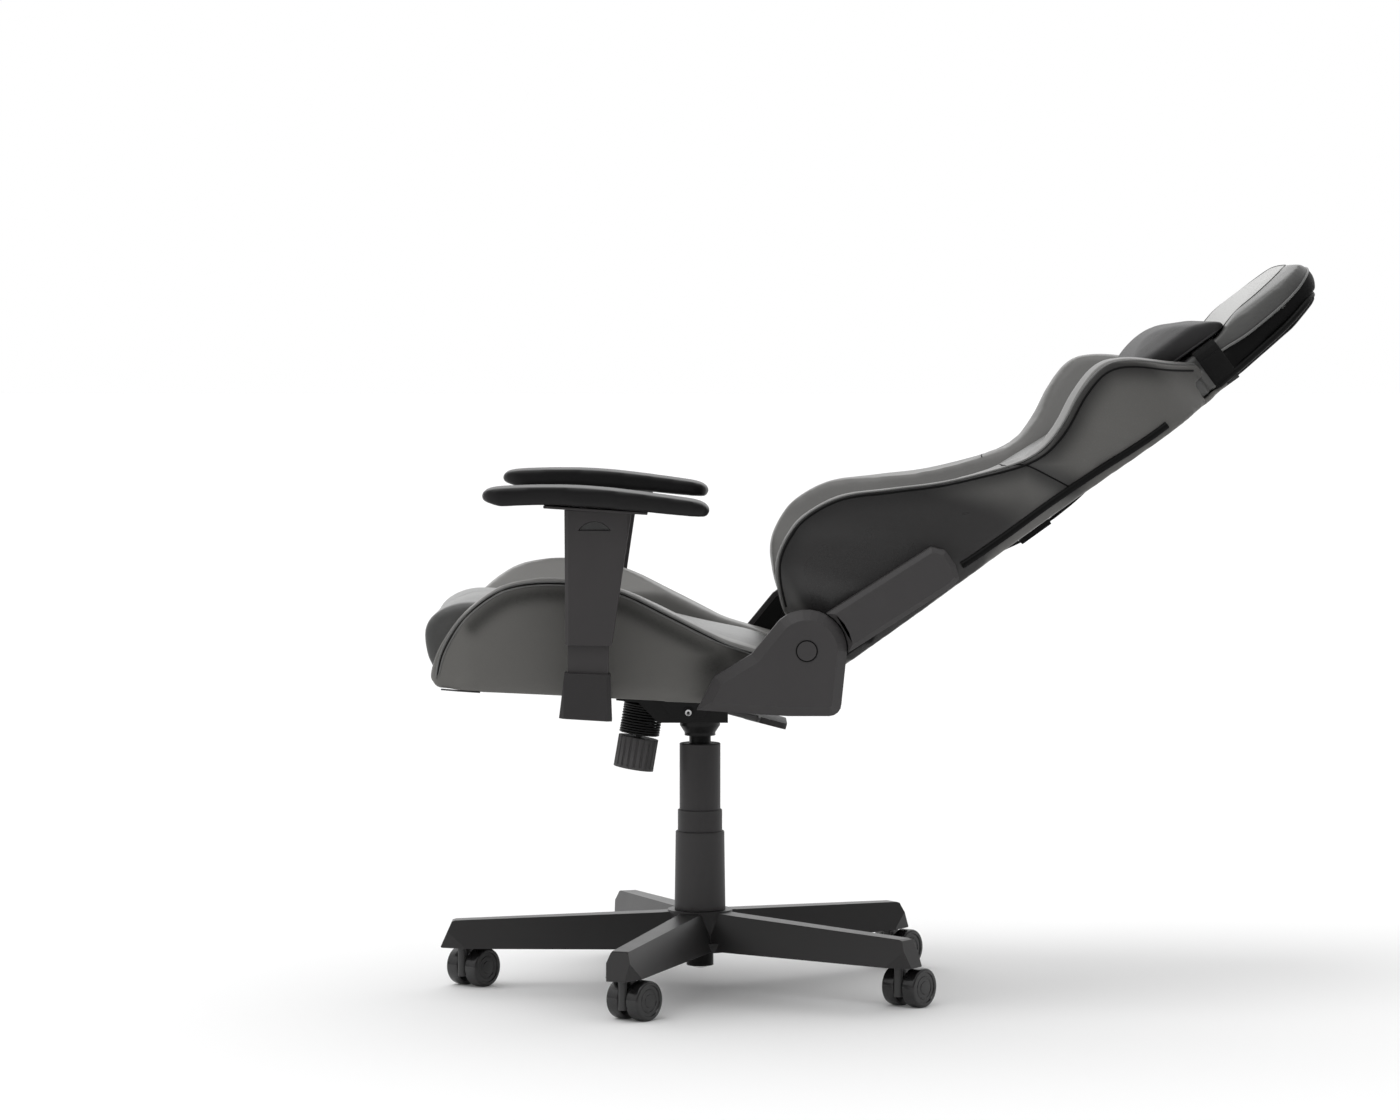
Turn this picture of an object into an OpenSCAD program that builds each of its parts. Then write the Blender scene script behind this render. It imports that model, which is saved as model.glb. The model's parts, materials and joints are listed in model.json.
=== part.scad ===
// Racing-style gaming chair, reclined. Millimetres, +Z up, the chair faces -Y.
// The origin is on the floor on the column axis, and +X is the sitter's left.

/* [Base] */
// Radius from the column axis to the end of an arm
base_r = 336; // [325:1:345]
// Radius of the circle the caster stems stand on
stem_circle_r = 309; // [300:1:312]
// Height of the underside of the arms
arm_bottom_z = 52.5; // [52.5:0.5:56]
// Height of the top of an arm at its end
arm_tip_z = 88; // [84:1:92]
// Height of the top of the hub
hub_top_z = 102; // [98:1:104]
// Radius of the hub
hub_r = 42; // [38:1:46]
// Width of an arm where it leaves the hub
arm_root_w = 62; // [54:1:66]
// Width of an arm at its end
arm_tip_w = 46; // [40:1:50]
// Width of the flat top of an arm at the hub
arm_top_w = 27; // [22:1:30]
// Wall of the moulded base
base_wall = 5; // [4:0.5:6]

/* [Casters] */
// Wheel diameter
wheel_d = 50; // [48:1:50]
// Width of one wheel
wheel_w = 19.5; // [17:0.5:20]
// Gap between the two wheels of a caster
wheel_gap = 12; // [11:0.5:14]
// Distance from the swivel axis to the axle
caster_trail = 22; // [18:1:24]
// Direction of the axles as the chair stands, from +X
caster_turn = 50; // [0:5:90]
// Radius of the caster stem
stem_r = 5.5; // [5:0.5:6]

/* [Column] */
// Travel of the gas lift
lift_stroke = 85; // [60:5:85]
// Radius of the outer tube
outer_tube_r = 25; // [24.5:0.1:25]
// Radius of the pressure tube that carries the seat
pressure_tube_r = 14; // [13:0.5:14]
// Radius of the piston rod
piston_rod_r = 5; // [4:0.5:5]
// Wall of the telescopic covers
cover_wall = 1.2; // [1:0.1:1.3]

/* [Mechanism] */
// Distance of the tilt pivot in front of the column axis
tilt_pivot_y = -15; // [-16:1:-14]
// Height of the tilt pivot
tilt_pivot_z = 361; // [360:1:362]
// Half the width of the mechanism housing
housing_half_w = 36; // [34:1:38]
// Lean of the tension knob from the vertical
knob_lean = 9.6; // [8:0.2:11]
// Radius of the tension knob
knob_r = 26; // [24:1:27]
// Height of the tension knob
knob_h = 41; // [36:1:43]

/* [Seat] */
// Half the width of the seat over its bolsters
seat_half_w = 250; // [246:1:250]
// Half the width of the pan between the bolsters
seat_pan_half_w = 165; // [155:1:170]
// Height of the underside of the seat over the column
seat_base_z = 389; // [387:1:391]
// Backward slope of the seat
seat_slope = 3; // [2.5:0.5:3.5]

/* [Backrest] */
// Distance of the recline pivot behind the column axis
recline_pivot_y = 131.5; // [130:0.5:133]
// Height of the recline pivot
recline_pivot_z = 458.5; // [457:0.5:460]
// Angle of the backrest above the horizontal as it stands
back_angle = 35.7; // [35:0.1:37]
// Thickness of the backrest behind the pivot line
back_depth = 46; // [45:0.5:47]
// Half the width between the side bolsters
back_pan_half_w = 150; // [145:1:152]
// Half the width of the neck and headrest
head_half_w = 152; // [148:1:154]

/* [Armrests] */
// Distance of an armrest from the middle of the chair
arm_x = 308; // [306:1:312]
// Width of an arm pad
pad_w = 90; // [80:1:94]

/* [Pillows] */
// Width of the neck pillow
neck_pillow_w = 300; // [270:5:300]
// Width of the lumbar pillow
lumbar_pillow_w = 290; // [260:5:295]
// Width of the webbing
strap_w = 32; // [28:1:34]

/* [Hidden] */

$fn = 48;
big = 1000;            // reach of a tool that cuts right through
fit = 0.05;            // radial clearance of a running fit
arms = 5;
arm_step = 360 / arms;
wheel_r = wheel_d / 2;
hub_bottom_z = arm_bottom_z - 1.5;
web_r = 56;            // low disc that joins the roots of the arms
arm_root_x = 34;       // where an arm's width is measured, inside the hub
cell_depth = 6.5;      // cells under the arms
cover_top = 318;       // top of the upper column cover
outer_tube_top = cover_top - lift_stroke - 4;
stub_z = 29;           // underside of the outer tube
knob_top = [0, -79.5, 325.5];
rail_r = 11;           // seat frame tube
rail_x = 225;
bracket_t = 5;         // recliner plate
back_plate_x = 252;    // inner face of the plate on the back frame
seat_plate_x = 258;    // inner face of the recliner plate on the seat
hinge_cover_x = 264;
hinge_cover_t = 26;
recline_clear_r = 50;  // round end of the hinge cover about the pivot
tube_n = -30;          // depth of the back frame tubes behind the pivot line
post_y = -137;         // middle of an armrest post, front to back
upright_x = 180;       // back frame uprights
plate_bolt_y = [-95, 105];    // bolts through the seat plate
arm_bolt_x = [135, 190];      // bolts through an armrest bar
recliner_bolt_y = [25, 110];  // bolts through a recliner plate
bolt_r = 4;

// ---- Curves and general shapes ----

function lerp(a, b, t) = a + (b - a) * t;

// Catmull-Rom curve through the points p, with n steps between neighbours
function spline(p, n = 3) = let (last = len(p) - 1) [
  for (i = [0:last - 1]) for (j = [0:n - 1])
    let (t = j / n, a = p[max(i - 1, 0)], b = p[i], c = p[i + 1], d = p[min(i + 2, last)])
      0.5 * (2 * b + (c - a) * t + (2 * a - 5 * b + 4 * c - d) * t * t
             + (3 * b - a - 3 * c + d) * t * t * t),
  p[last]];

function reversed(p) = [for (i = [len(p) - 1:-1:0]) p[i]];

// The closed outline p moved inwards by d; p runs anticlockwise
function inset(p, d) = [for (i = [0:len(p) - 1]) let (
    a = p[(i + len(p) - 1) % len(p)], b = p[i], c = p[(i + 1) % len(p)],
    u = (b - a) / norm(b - a), v = (c - b) / norm(c - b),
    nu = [-u[1], u[0]], nv = [-v[1], v[0]], m = nu + nv)
  b + m * (2 * d / (m * m))];

// An outline drawn in (Y, Z) made solid from x0 to x1
module side_prism(outline, x0, x1) {
  translate([x0, 0, 0]) rotate([90, 0, 90]) linear_extrude(x1 - x0) polygon(outline);
}

// An outline drawn in (X, Z) made solid from y0 to y1
module front_prism(outline, y0, y1) {
  translate([0, y1, 0]) rotate([90, 0, 0]) linear_extrude(y1 - y0) polygon(outline);
}

// A plate in (Y, Z) from x0 to x1 whose outer edge is bevelled over the last b
module bevelled_plate(outline, x0, x1, b, slope = 1) {
  n = len(outline);
  bevel_x = x1 - b * slope;
  side_prism(outline, x0, bevel_x);
  polyhedron(
    points = concat([for (q = outline) [bevel_x, q[0], q[1]]],
                    [for (q = inset(outline, b)) [x1, q[0], q[1]]]),
    faces = concat(
      [[for (i = [0:n - 1]) i]], [[for (i = [n - 1:-1:0]) n + i]],
      [for (i = [0:n - 1]) let (j = (i + 1) % n) [i, n + i, n + j, j]]));
}

// Round bar between two points
module bar(a, b, r) {
  d = b - a;
  translate(a) rotate([0, acos(d[2] / norm(d)), atan2(d[1], d[0])]) cylinder(h = norm(d), r = r);
}

// Axle along X centred on the origin
module x_cylinder(h, r) rotate([0, 90, 0]) cylinder(h = h, r = r, center = true);

module both_sides() {
  children();
  mirror([1, 0, 0]) children();
}

// ---- Frames of the moving assemblies ----

module seat_place() translate([0, 0, seat_base_z]) rotate([-seat_slope, 0, 0]) children();

// In here Y runs up the backrest from the pivot and Z points at the sitter
module back_place() translate([0, recline_pivot_y, recline_pivot_z])
  rotate([back_angle, 0, 0]) children();

// In here Z runs up the bolt of the tension spring from the top of the knob
module knob_place() translate(knob_top) rotate([-knob_lean, 0, 0]) children();

module caster_place(i) rotate(-90 + (i - 1) * arm_step) translate([stem_circle_r, 0, 0])
  rotate(90 - (i - 1) * arm_step + caster_turn) children();

// ---- Base ----

// Half the width of an arm's underside at radius r
function arm_half_w(r) =
  lerp(arm_root_w / 2, arm_tip_w / 2, (r - arm_root_x) / (base_r - arm_root_x));

// Room on the inner side of an arm's flank, which leans inwards from its lower edge
module inside_flank() {
  narrowing = (arm_root_w - arm_tip_w) / 2 / (base_r - arm_root_x);
  lean = (arm_root_w / 2 - arm_top_w / 2) / (hub_top_z - arm_bottom_z);
  turn = -atan(narrowing);
  translate([arm_root_x, arm_root_w / 2, arm_bottom_z])
    rotate([atan(lean * cos(turn)), 0, turn]) translate([-60, -150, -100]) cube([500, 150, 250]);
}

// One arm along +X: its side view, its plan and its two flanks meet in it
module arm_form() {
  end = base_r;
  corner = 11;
  intersection() {
    rotate([90, 0, 0]) linear_extrude(2 * arm_root_w, center = true) polygon([
      [26, arm_bottom_z], [end - 1, arm_bottom_z], [end, arm_bottom_z + 1.5],
      [end - 14.5, arm_tip_z - 1.5], [end - 19, arm_tip_z],
      [hub_r + 9, hub_top_z - 3], [26, hub_top_z - 1]]);
    linear_extrude(big, center = true) polygon([
      [20, -arm_root_w], [end - 30, -arm_root_w], [end - 30, -arm_tip_w / 2],
      [end + 1, -arm_tip_w / 2 + corner], [end + 1, arm_tip_w / 2 - corner],
      [end - 30, arm_tip_w / 2], [end - 30, arm_root_w], [20, arm_root_w]]);
    inside_flank();
    mirror([0, 1, 0]) inside_flank();
  }
}

// Shallow cells under an arm, with ribs left between them
module arm_cells() {
  ends = [web_r + 2, 110, 168, 226, stem_circle_r - 13];
  for (i = [0:len(ends) - 2]) let (r0 = ends[i], r1 = ends[i + 1] - 2.5)
    linear_extrude(arm_bottom_z + cell_depth) polygon([
      [r0, base_wall - arm_half_w(r0)], [r1, base_wall - arm_half_w(r1)],
      [r1, arm_half_w(r1) - base_wall], [r0, arm_half_w(r0) - base_wall]]);
}

module star_base() color([0.17, 0.17, 0.17]) difference() {
  union() {
    for (i = [0:arms - 1]) rotate(-90 + i * arm_step) arm_form();
    translate([0, 0, hub_bottom_z]) cylinder(h = hub_top_z - hub_bottom_z, r = hub_r);
    // web between the roots of the arms
    translate([0, 0, hub_bottom_z]) cylinder(h = 12, r = web_r);
  }
  for (i = [0:arms - 1]) rotate(-90 + i * arm_step) {
    arm_cells();
    translate([stem_circle_r, 0, 0]) cylinder(h = 76, r = stem_r + fit);
  }
  // tapered socket for the column
  translate([0, 0, hub_bottom_z - 1])
    cylinder(h = hub_top_z - hub_bottom_z + 2, r1 = 23.38, r2 = outer_tube_r + 0.02);
}

module gas_outer_tube() color([0.2, 0.2, 0.2]) rotate_extrude() polygon([
  [piston_rod_r + fit, stub_z], [17.5, stub_z], [17.5, 50], [23.4, arm_bottom_z - 1],
  [outer_tube_r, hub_top_z + 1], [outer_tube_r, outer_tube_top], [23.2, outer_tube_top],
  [23.2, 104], [21.6, 58], [15.5, 50], [15.5, 33], [piston_rod_r + fit, 33]]);

module guide_bush() color([0.12, 0.12, 0.12]) rotate_extrude() polygon([
  [pressure_tube_r + fit, 125], [23.15, 125], [23.15, outer_tube_top],
  [24.6, outer_tube_top], [24.6, outer_tube_top + 1.5],
  [pressure_tube_r + fit, outer_tube_top + 1.5]]);

// ---- Telescopic covers ----

// Sleeve of outer radius r with a flare at its foot and an inward lip at its top
module cover_stage(r, z0, z1, flare, lip) rotate_extrude() polygon([
  [r - cover_wall, z0], [r + flare, z0], [r + flare, z0 + 3], [r, z0 + 3.5], [r, z1 - 1],
  [r - 1, z1], [r - cover_wall - lip, z1], [r - cover_wall - lip, z1 - 1.5],
  [r - cover_wall, z1 - 1.5]]);

module cover_lower() color([0.21, 0.2, 0.2]) rotate_extrude() polygon([
  [31.6 - cover_wall, hub_top_z], [33, hub_top_z], [31.6, 203], [30.6, 204], [29.15, 204],
  [29.15, 202.5], [31.6 - cover_wall, 202.5]]);

module cover_middle() color([0.21, 0.2, 0.2]) cover_stage(28.8, 137, 232, 1.2, 0.75);

// The lip of the upper stage closes its top and hangs it on the pressure tube
module cover_upper() color([0.21, 0.2, 0.2])
  cover_stage(26.5, cover_top - 100, cover_top, 0.75, 26.5 - cover_wall - pressure_tube_r - fit);

// ---- Gas spring ----

module gas_piston_rod() color([0.75, 0.76, 0.78]) {
  translate([0, 0, 25.5]) cylinder(h = 125, r = piston_rod_r);
  // piston, thrust bearing and retaining clip
  translate([0, 0, 150.2]) cylinder(h = 8, r = 12.4);
  translate([0, 0, 33.3]) cylinder(h = 4, r = 12);
  translate([0, 0, 26.5]) cylinder(h = 2, r = 9);
}

module gas_pressure_tube() color([0.2, 0.2, 0.2]) {
  rotate_extrude() polygon([
    [piston_rod_r + fit, 140], [pressure_tube_r, 140], [pressure_tube_r, 352], [0, 352],
    [0, 335], [12.5, 335], [12.5, 149], [piston_rod_r + fit, 149]]);
  // valve button
  translate([0, 0, 351]) cylinder(h = 5, r = 4);
}

// ---- Casters ----

module caster_fork() color([0.3, 0.3, 0.3]) {
  body_w = wheel_gap - 2;
  // stem with its retaining ring and the collar under the arm
  translate([0, 0, arm_bottom_z - 6]) cylinder(h = 75 - arm_bottom_z + 6, r = stem_r);
  translate([0, 0, 14]) cylinder(h = arm_bottom_z - 0.4 - 14, r = body_w / 2 + 0.4);
  translate([0, caster_trail, wheel_r]) {
    x_cylinder(body_w, 13);
    x_cylinder(wheel_gap + 2 * wheel_w - 2, 3);
    translate([-body_w / 2, -caster_trail, -10]) cube([body_w, caster_trail, 20]);
  }
}

// Left wheel is on +X of the caster; its outer face is dished inside the rim
module caster_wheel() color([0.16, 0.16, 0.16])
  translate([0, caster_trail, wheel_r]) rotate([0, 90, 0]) rotate_extrude() polygon([
    [3 + fit, wheel_gap / 2], [wheel_r - 1.5, wheel_gap / 2], [wheel_r, wheel_gap / 2 + 2.5],
    [wheel_r, wheel_gap / 2 + wheel_w - 3.5], [wheel_r - 2.5, wheel_gap / 2 + wheel_w - 0.8],
    [wheel_r - 5, wheel_gap / 2 + wheel_w], [wheel_r - 6, wheel_gap / 2 + wheel_w - 1.6],
    [3 + fit, wheel_gap / 2 + wheel_w - 1]]);

// ---- Tilt mechanism ----

module tilt_housing() color([0.13, 0.13, 0.13]) difference() {
  union() {
    side_prism([[-108, 376], [-79, 373], [-54, 347], [36, 347], [36, 365], [-15, 377],
                [-45, 383], [-108, 383]], -housing_half_w, housing_half_w);
    // cup over the end of the pressure tube
    rotate_extrude() polygon([[0, 328], [20, 328], [20, 332], [26, 341], [26, 352], [0, 352]]);
    translate([0, tilt_pivot_y, tilt_pivot_z]) x_cylinder(2 * housing_half_w, 10);
    // guide of the height lever
    translate([-housing_half_w - 8, 22, 356]) rotate([0, 90, 0]) cylinder(h = 14, r = 7.5);
  }
  difference() {
    translate([3 - housing_half_w, -43, 350]) cube([2 * housing_half_w - 6, 76, 60]);
    translate([0, 0, 300]) cylinder(h = 52, r = 20);
  }
  // open channel that the spring stands in
  translate([3 - housing_half_w, -112, 330]) cube([2 * housing_half_w - 6, 65, 49.5]);
  knob_place() translate([0, 0, 40]) for (y = [-4, 0, 4]) translate([0, y, 0])
    cylinder(h = 30, r = 7);
  translate([0, 0, 300]) cylinder(h = 52.5, r = pressure_tube_r + 0.02);
  translate([0, tilt_pivot_y, tilt_pivot_z]) x_cylinder(2 * housing_half_w + 1, piston_rod_r + fit);
  translate([-housing_half_w - 10, 22, 356]) rotate([0, 90, 0]) cylinder(h = 20, r = 4 + fit);
}

module tilt_pivot_pin() color([0.8, 0.8, 0.8]) translate([0, tilt_pivot_y, tilt_pivot_z]) {
  x_cylinder(2 * housing_half_w + 18, piston_rod_r);
  both_sides() translate([housing_half_w + 7.5, 0, 0]) x_cylinder(2, 6.5);
}

// Steel coil: the wire is swept along its helix as one closed tube
module tension_spring() color([0.1, 0.1, 0.1]) knob_place() {
  coils = 14;
  steps = 18;
  sides = 6;
  wire = 1.15;
  coil_r = 22.2;
  rise = 41;
  n = coils * steps;
  polyhedron(
    points = [for (i = [0:n]) for (k = [0:sides - 1])
      let (a = 360 * i / steps, b = 360 * k / sides, r = coil_r + wire * cos(b))
        [r * cos(a), r * sin(a), 3 + rise * i / n + wire * sin(b)]],
    faces = concat(
      [[for (k = [0:sides - 1]) k]], [[for (k = [sides - 1:-1:0]) n * sides + k]],
      [for (i = [0:n - 1]) for (k = [0:sides - 1])
        let (j = (k + 1) % sides, p = i * sides, q = p + sides) [p + k, q + k, q + j, p + j]]));
}

module tension_knob() color([0.26, 0.25, 0.25]) knob_place() {
  grooves = 20;
  difference() {
    translate([0, 0, -knob_h]) cylinder(h = knob_h, r = knob_r);
    for (i = [0:grooves - 1]) rotate(360 * i / grooves)
      translate([knob_r + 0.6, 0, -knob_h + 4]) cylinder(h = knob_h, r = 1.8);
    translate([0, 0, -knob_h - 1]) cylinder(h = 5, r = knob_r - 7);
  }
  translate([0, 0, -knob_h + 6]) cylinder(h = knob_h + 64, r = 4);
}

module height_lever() color([0.12, 0.12, 0.12]) {
  r = 4;
  path = [[-26, 22, 356], [-78, 22, 356], [-122, 74, 338.5], [-150, 80, 336]];
  for (i = [0:len(path) - 2]) bar(path[i], path[i + 1], r);
  for (i = [1:len(path) - 2]) translate(path[i]) sphere(r + 0.5);
  // finger over the valve button
  bar([-28, 22, 356], [2, 3, 363], 2.5);
  // flat paddle with round ends
  translate([-142, 86.5, 333.5]) rotate([-14.6, 0, 0]) hull() for (y = [-23, 23])
    translate([-85, y, -4]) {
      cylinder(h = 8, r = 6, $fn = 32);
      translate([85, 0, 0]) cylinder(h = 8, r = 6, $fn = 32);
    }
}

// Pressed plate bolted under the seat, with cheeks that hang on the pivot pin
module seat_plate() color([0.12, 0.12, 0.12]) difference() {
  union() {
    seat_place() difference() {
      translate([-95, -112, -4]) cube([190, 242, 4]);
      for (x = [-80, 80]) for (y = plate_bolt_y) translate([x, y, 0])
        cylinder(h = 20, r = 4.2, center = true);
    }
    both_sides() {
      side_prism([[-60, 389], [25, 385.5], [4, 353], [-36, 353]], 37.5, 41.5);
      translate([39.5, tilt_pivot_y, tilt_pivot_z]) x_cylinder(4, 11);
    }
  }
  translate([0, tilt_pivot_y, tilt_pivot_z]) x_cylinder(100, piston_rod_r + fit);
  knob_place() translate([0, 0, 55]) cylinder(h = 30, r = 4 + fit);
}

// ---- Seat ----

module seat_frame() color([0.15, 0.15, 0.15]) seat_place() difference() {
  front = -290;
  rear = 128;
  union() {
    for (x = [-rail_x, rail_x]) bar([x, front - 9, rail_r], [x, rear + 8, rail_r], rail_r);
    for (y = [front, rear]) bar([-rail_x, y, rail_r], [rail_x, y, rail_r], rail_r - 0.8);
    // flat bars that the seat plate and the armrests are bolted to
    for (y = plate_bolt_y) translate([-rail_x, y - 20, 0]) cube([2 * rail_x, 40, 5]);
    both_sides() translate([112, post_y - 20, 0]) cube([rail_x - 112, 42, 5]);
    // springs across the pan
    for (y = [-230:60:70]) bar([-rail_x, y, 15], [rail_x, y, 15], 2);
  }
  for (x = [-80, 80]) for (y = plate_bolt_y) translate([x, y, 0]) cylinder(h = 20, r = 4.2, center = true);
  both_sides() for (x = arm_bolt_x) translate([x, post_y, 0]) cylinder(h = 20, r = 4.2, center = true);
}

seat_pan_top = spline([
  [-341, 440], [-342.5, 463], [-335.5, 488], [-313, 509.5], [-274, 519], [-200, 514],
  [-100, 492], [0, 468], [80, 450], [138, 418]]);
module seat_cushion() color([0.3, 0.3, 0.3])
  side_prism(concat(seat_pan_top, [[138, 407], [-296, 430.5], [-330, 416]]),
             -seat_pan_half_w + 0.5, seat_pan_half_w - 0.5);

seat_bolster_top = spline([
  [-337, 420], [-331, 443], [-319, 468], [-295, 500], [-253, 532], [-213, 543.5], [-170, 545],
  [-101, 532], [-36, 501], [23, 472], [62, 459], [100, 446]]);
module seat_bolster() color([0.33, 0.33, 0.32]) difference() {
  intersection() {
    side_prism(concat(seat_bolster_top,
                      [[138, 436], [138, 382.5], [0, 389.5], [-276, 404], [-318, 406.5], [-329, 410]]),
               seat_pan_half_w, seat_half_w);
    front_prism([[seat_pan_half_w, 300], [seat_half_w, 300], [seat_half_w, 530],
                 [seat_half_w - 6, 542], [seat_half_w - 24, 550], [seat_pan_half_w, 503]],
                -400, 200);
    // rounded front corner in plan
    linear_extrude(big) polygon([
      [0, 200], [0, -352], [seat_half_w - 60, -352], [seat_half_w - 14, -330],
      [seat_half_w, -290], [seat_half_w, 200]]);
  }
  // pocket for the frame, and holes for the recliner bolts
  seat_place() {
    translate([0, -320, -1]) cube([rail_x + rail_r + 1, 480, 2 * rail_r + 2.5]);
    for (y = recliner_bolt_y) translate([seat_half_w, y, rail_r + 1]) x_cylinder(60, 6.5);
  }
}
module seat_bolster_left() seat_bolster();
module seat_bolster_right() mirror([1, 0, 0]) seat_bolster();

// ---- Recliners ----

hinge_round = [for (a = [0:12:132]) [recline_pivot_y + recline_clear_r * cos(a),
                                     recline_pivot_z + recline_clear_r * sin(a)]];
hinge_foot = concat([[-4, 384.5], [108, 377]],
  [for (a = [-88:22:0]) [159.5 + 15.2 * cos(a), 392.2 + 15.2 * sin(a)]]);
hinge_outline = concat(hinge_foot, hinge_round, [[64, 454], [18, 426]]);

module recliner() color([0.2, 0.2, 0.2]) {
  difference() {
    side_prism(inset(hinge_outline, 6), seat_plate_x, seat_plate_x + bracket_t);
    seat_place() for (y = recliner_bolt_y)
      translate([seat_plate_x, y, rail_r + 1]) x_cylinder(20, 5);
  }
  // hinge shaft with its inner head and outer boss
  translate([0, recline_pivot_y, recline_pivot_z]) {
    translate([seat_plate_x - 1, 0, 0]) x_cylinder(14, 8);
    translate([back_plate_x - 1.9, 0, 0]) x_cylinder(2, 11);
    translate([seat_plate_x + bracket_t + 2.5, 0, 0]) x_cylinder(6, 13);
  }
}
module recliner_left() recliner();
module recliner_right() mirror([1, 0, 0]) recliner();

// Outer layer over a convex outline, drawn in by 12 towards its face
module hinge_bevel(outline) {
  face_x = hinge_cover_x + hinge_cover_t;
  hull() {
    side_prism(outline, face_x - 14, face_x - 13);
    side_prism(inset(outline, 12), face_x - 0.1, face_x);
  }
}

module hinge_cover() color([0.25, 0.24, 0.24]) {
  difference() {
    side_prism(hinge_outline, hinge_cover_x, hinge_cover_x + hinge_cover_t - 13);
    side_prism(inset(hinge_outline, 8), hinge_cover_x - 1, hinge_cover_x + 8);
  }
  hinge_bevel(concat(hinge_foot, [[180.5, 450], [110, 482], [18, 426]]));
  hinge_bevel(concat([[174.7, 396]], hinge_round, [[30, 412.3], [40, 398]]));
  translate([hinge_cover_x + hinge_cover_t + 0.5, recline_pivot_y, recline_pivot_z])
    x_cylinder(2, 12);
}
module hinge_cover_left() hinge_cover();
module hinge_cover_right() difference() {
  mirror([1, 0, 0]) hinge_cover();
  translate(lever_pivot) x_cylinder(80, 5.3);
}

// Release lever on the right hinge, with its shaft through the cover
lever_pivot = [-(hinge_cover_x + hinge_cover_t), 70, 420];
module recline_lever() color([0.1, 0.1, 0.1]) {
  translate(lever_pivot) {
    translate([10, 0, 0]) x_cylinder(26, 5);
    translate([-6, 0, 0]) x_cylinder(11.4, 11);
    translate([-15.8, 0, 0]) rotate([-4, 0, 0]) hull() {
      x_cylinder(9, 11, $fn = 32);
      translate([0, 92, 4]) x_cylinder(9, 8, $fn = 32);
      translate([0, 70, 2]) x_cylinder(9, 9, $fn = 32);
    }
  }
}

// Hexagon bolt pointing up, its head under the plane h
module hex_bolt(h) translate([0, 0, h - 3.5]) {
  cylinder(h = 16, r = bolt_r);
  cylinder(h = 3.4, r = 7.5, $fn = 6);
}

module mounting_bolts() color([0.6, 0.6, 0.6]) seat_place() {
  for (x = [-80, 80]) for (y = plate_bolt_y) translate([x, y, 0]) hex_bolt(-4);
  both_sides() {
    for (x = arm_bolt_x) translate([x, post_y, 0]) hex_bolt(-5.5);
    // recliner plates to the frame rails
    for (y = recliner_bolt_y) translate([0, y, rail_r + 1]) {
      translate([rail_x + rail_r + 14.7, 0, 0]) x_cylinder(28.8, 4.9);
      translate([seat_plate_x + bracket_t + 2, 0, 0]) x_cylinder(3.4, 8);
    }
  }
}

// ---- Backrest: Y runs up the back, Z points at the sitter ----

wing_front = spline([
  [3, 52], [11, 74], [32, 110], [70, 132], [102, 137], [146, 130], [192, 106], [260, 69],
  [332, 40], [375, 31], [417, 41], [458, 62], [502, 73], [536, 58], [572, 26], [603, 2]]);
plan_edge = spline([
  [0, 232], [40, 246], [100, 251], [180, 250], [260, 243], [340, 239], [420, 248],
  [485, 262], [525, 262], [556, 246], [585, 205], [604, 168]]);
head_edge = spline([
  [607, 154], [650, head_half_w], [715, 151], [758, 144], [785, 122], [796, 88]]);
pan_front = spline([
  [8, 14], [60, 26], [150, 29], [250, 24], [350, 17], [450, 11], [560, 9.5], [640, 9.5],
  [665, 16], [690, 23], [722, 27], [769, 28], [786, 23], [797, 8]]);

function swapped(p) = [for (q = p) [q[1], q[0]]];

// Solid below the plan outline of half widths e, where e lists [u, half width]
module plan_prism(e) linear_extrude(big, center = true)
  polygon(concat(swapped(e), [for (q = reversed(e)) [-q[1], q[0]]]));

slot_u = 574;
slot_r = 13;
module harness_slots() for (s = [-1, 1]) translate([s * strap_x, slot_u, 0]) {
  cube([50, 2 * slot_r, 200], center = true);
  for (x = [-25, 25]) translate([x, 0, 0]) cylinder(h = 200, r = slot_r, center = true);
}

// Round side openings for the spacers between the arm plates and the uprights
module spacer_holes(r) for (y = [70, 165]) translate([215, y, tube_n]) x_cylinder(80, r);

module back_bolster() color([0.26, 0.26, 0.26]) back_place() difference() {
  intersection() {
    side_prism(concat(wing_front, [[606, -8], [606, -back_depth + 1], [3, -back_depth]]),
               back_pan_half_w, 270);
    plan_prism(plan_edge);
    front_prism([[203, -60], [290, -60], [290, 140], [230, 140],
                 [back_pan_half_w + 0.5, 14], [back_pan_half_w + 0.5, -18], [203, -18]],
                0, 640);
  }
  spacer_holes(8.5);
}
module back_bolster_left() back_bolster();
module back_bolster_right() mirror([1, 0, 0]) back_bolster();

// The headrest is as deep as the backrest and closes round the top of the frame
module back_cushion() color([0.36, 0.36, 0.35]) back_place() difference() {
  crown = [[50, 29], [100, 25.5], [140, 20.5], [160, 14], [160, -60]];
  intersection() {
    side_prism(concat(pan_front, [[793, -8], [784, -15], [772, -18], [730, -28], [651, -36.5],
                                  [607, -40.4], [607, -18], [8, -18]]), -160, 160);
    plan_prism(concat([[0, back_pan_half_w], [606, back_pan_half_w]], head_edge));
    front_prism(concat(crown, [for (q = reversed(crown)) [-q[0], q[1]]]), 0, 800);
  }
  harness_slots();
  // room for the frame's neck and its plate
  translate([3 - back_pan_half_w, 600, -60]) cube([2 * back_pan_half_w - 6, 45, 42]);
  translate([-113, 640, -60]) cube([226, 97, 42]);
}

module back_shell() color([0.3, 0.3, 0.3]) back_place() difference() {
  intersection() {
    side_prism([[8, -41.5], [8, -46], [600, -46], [651, -42], [732, -34], [771, -24.5],
                [779, -19.2], [771, -18.6], [730, -28.5], [650, -37], [600, -41.5]], -210, 210);
    plan_prism(concat([[0, 202], [555, 202], [590, 186]], head_edge));
  }
  harness_slots();
}

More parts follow.
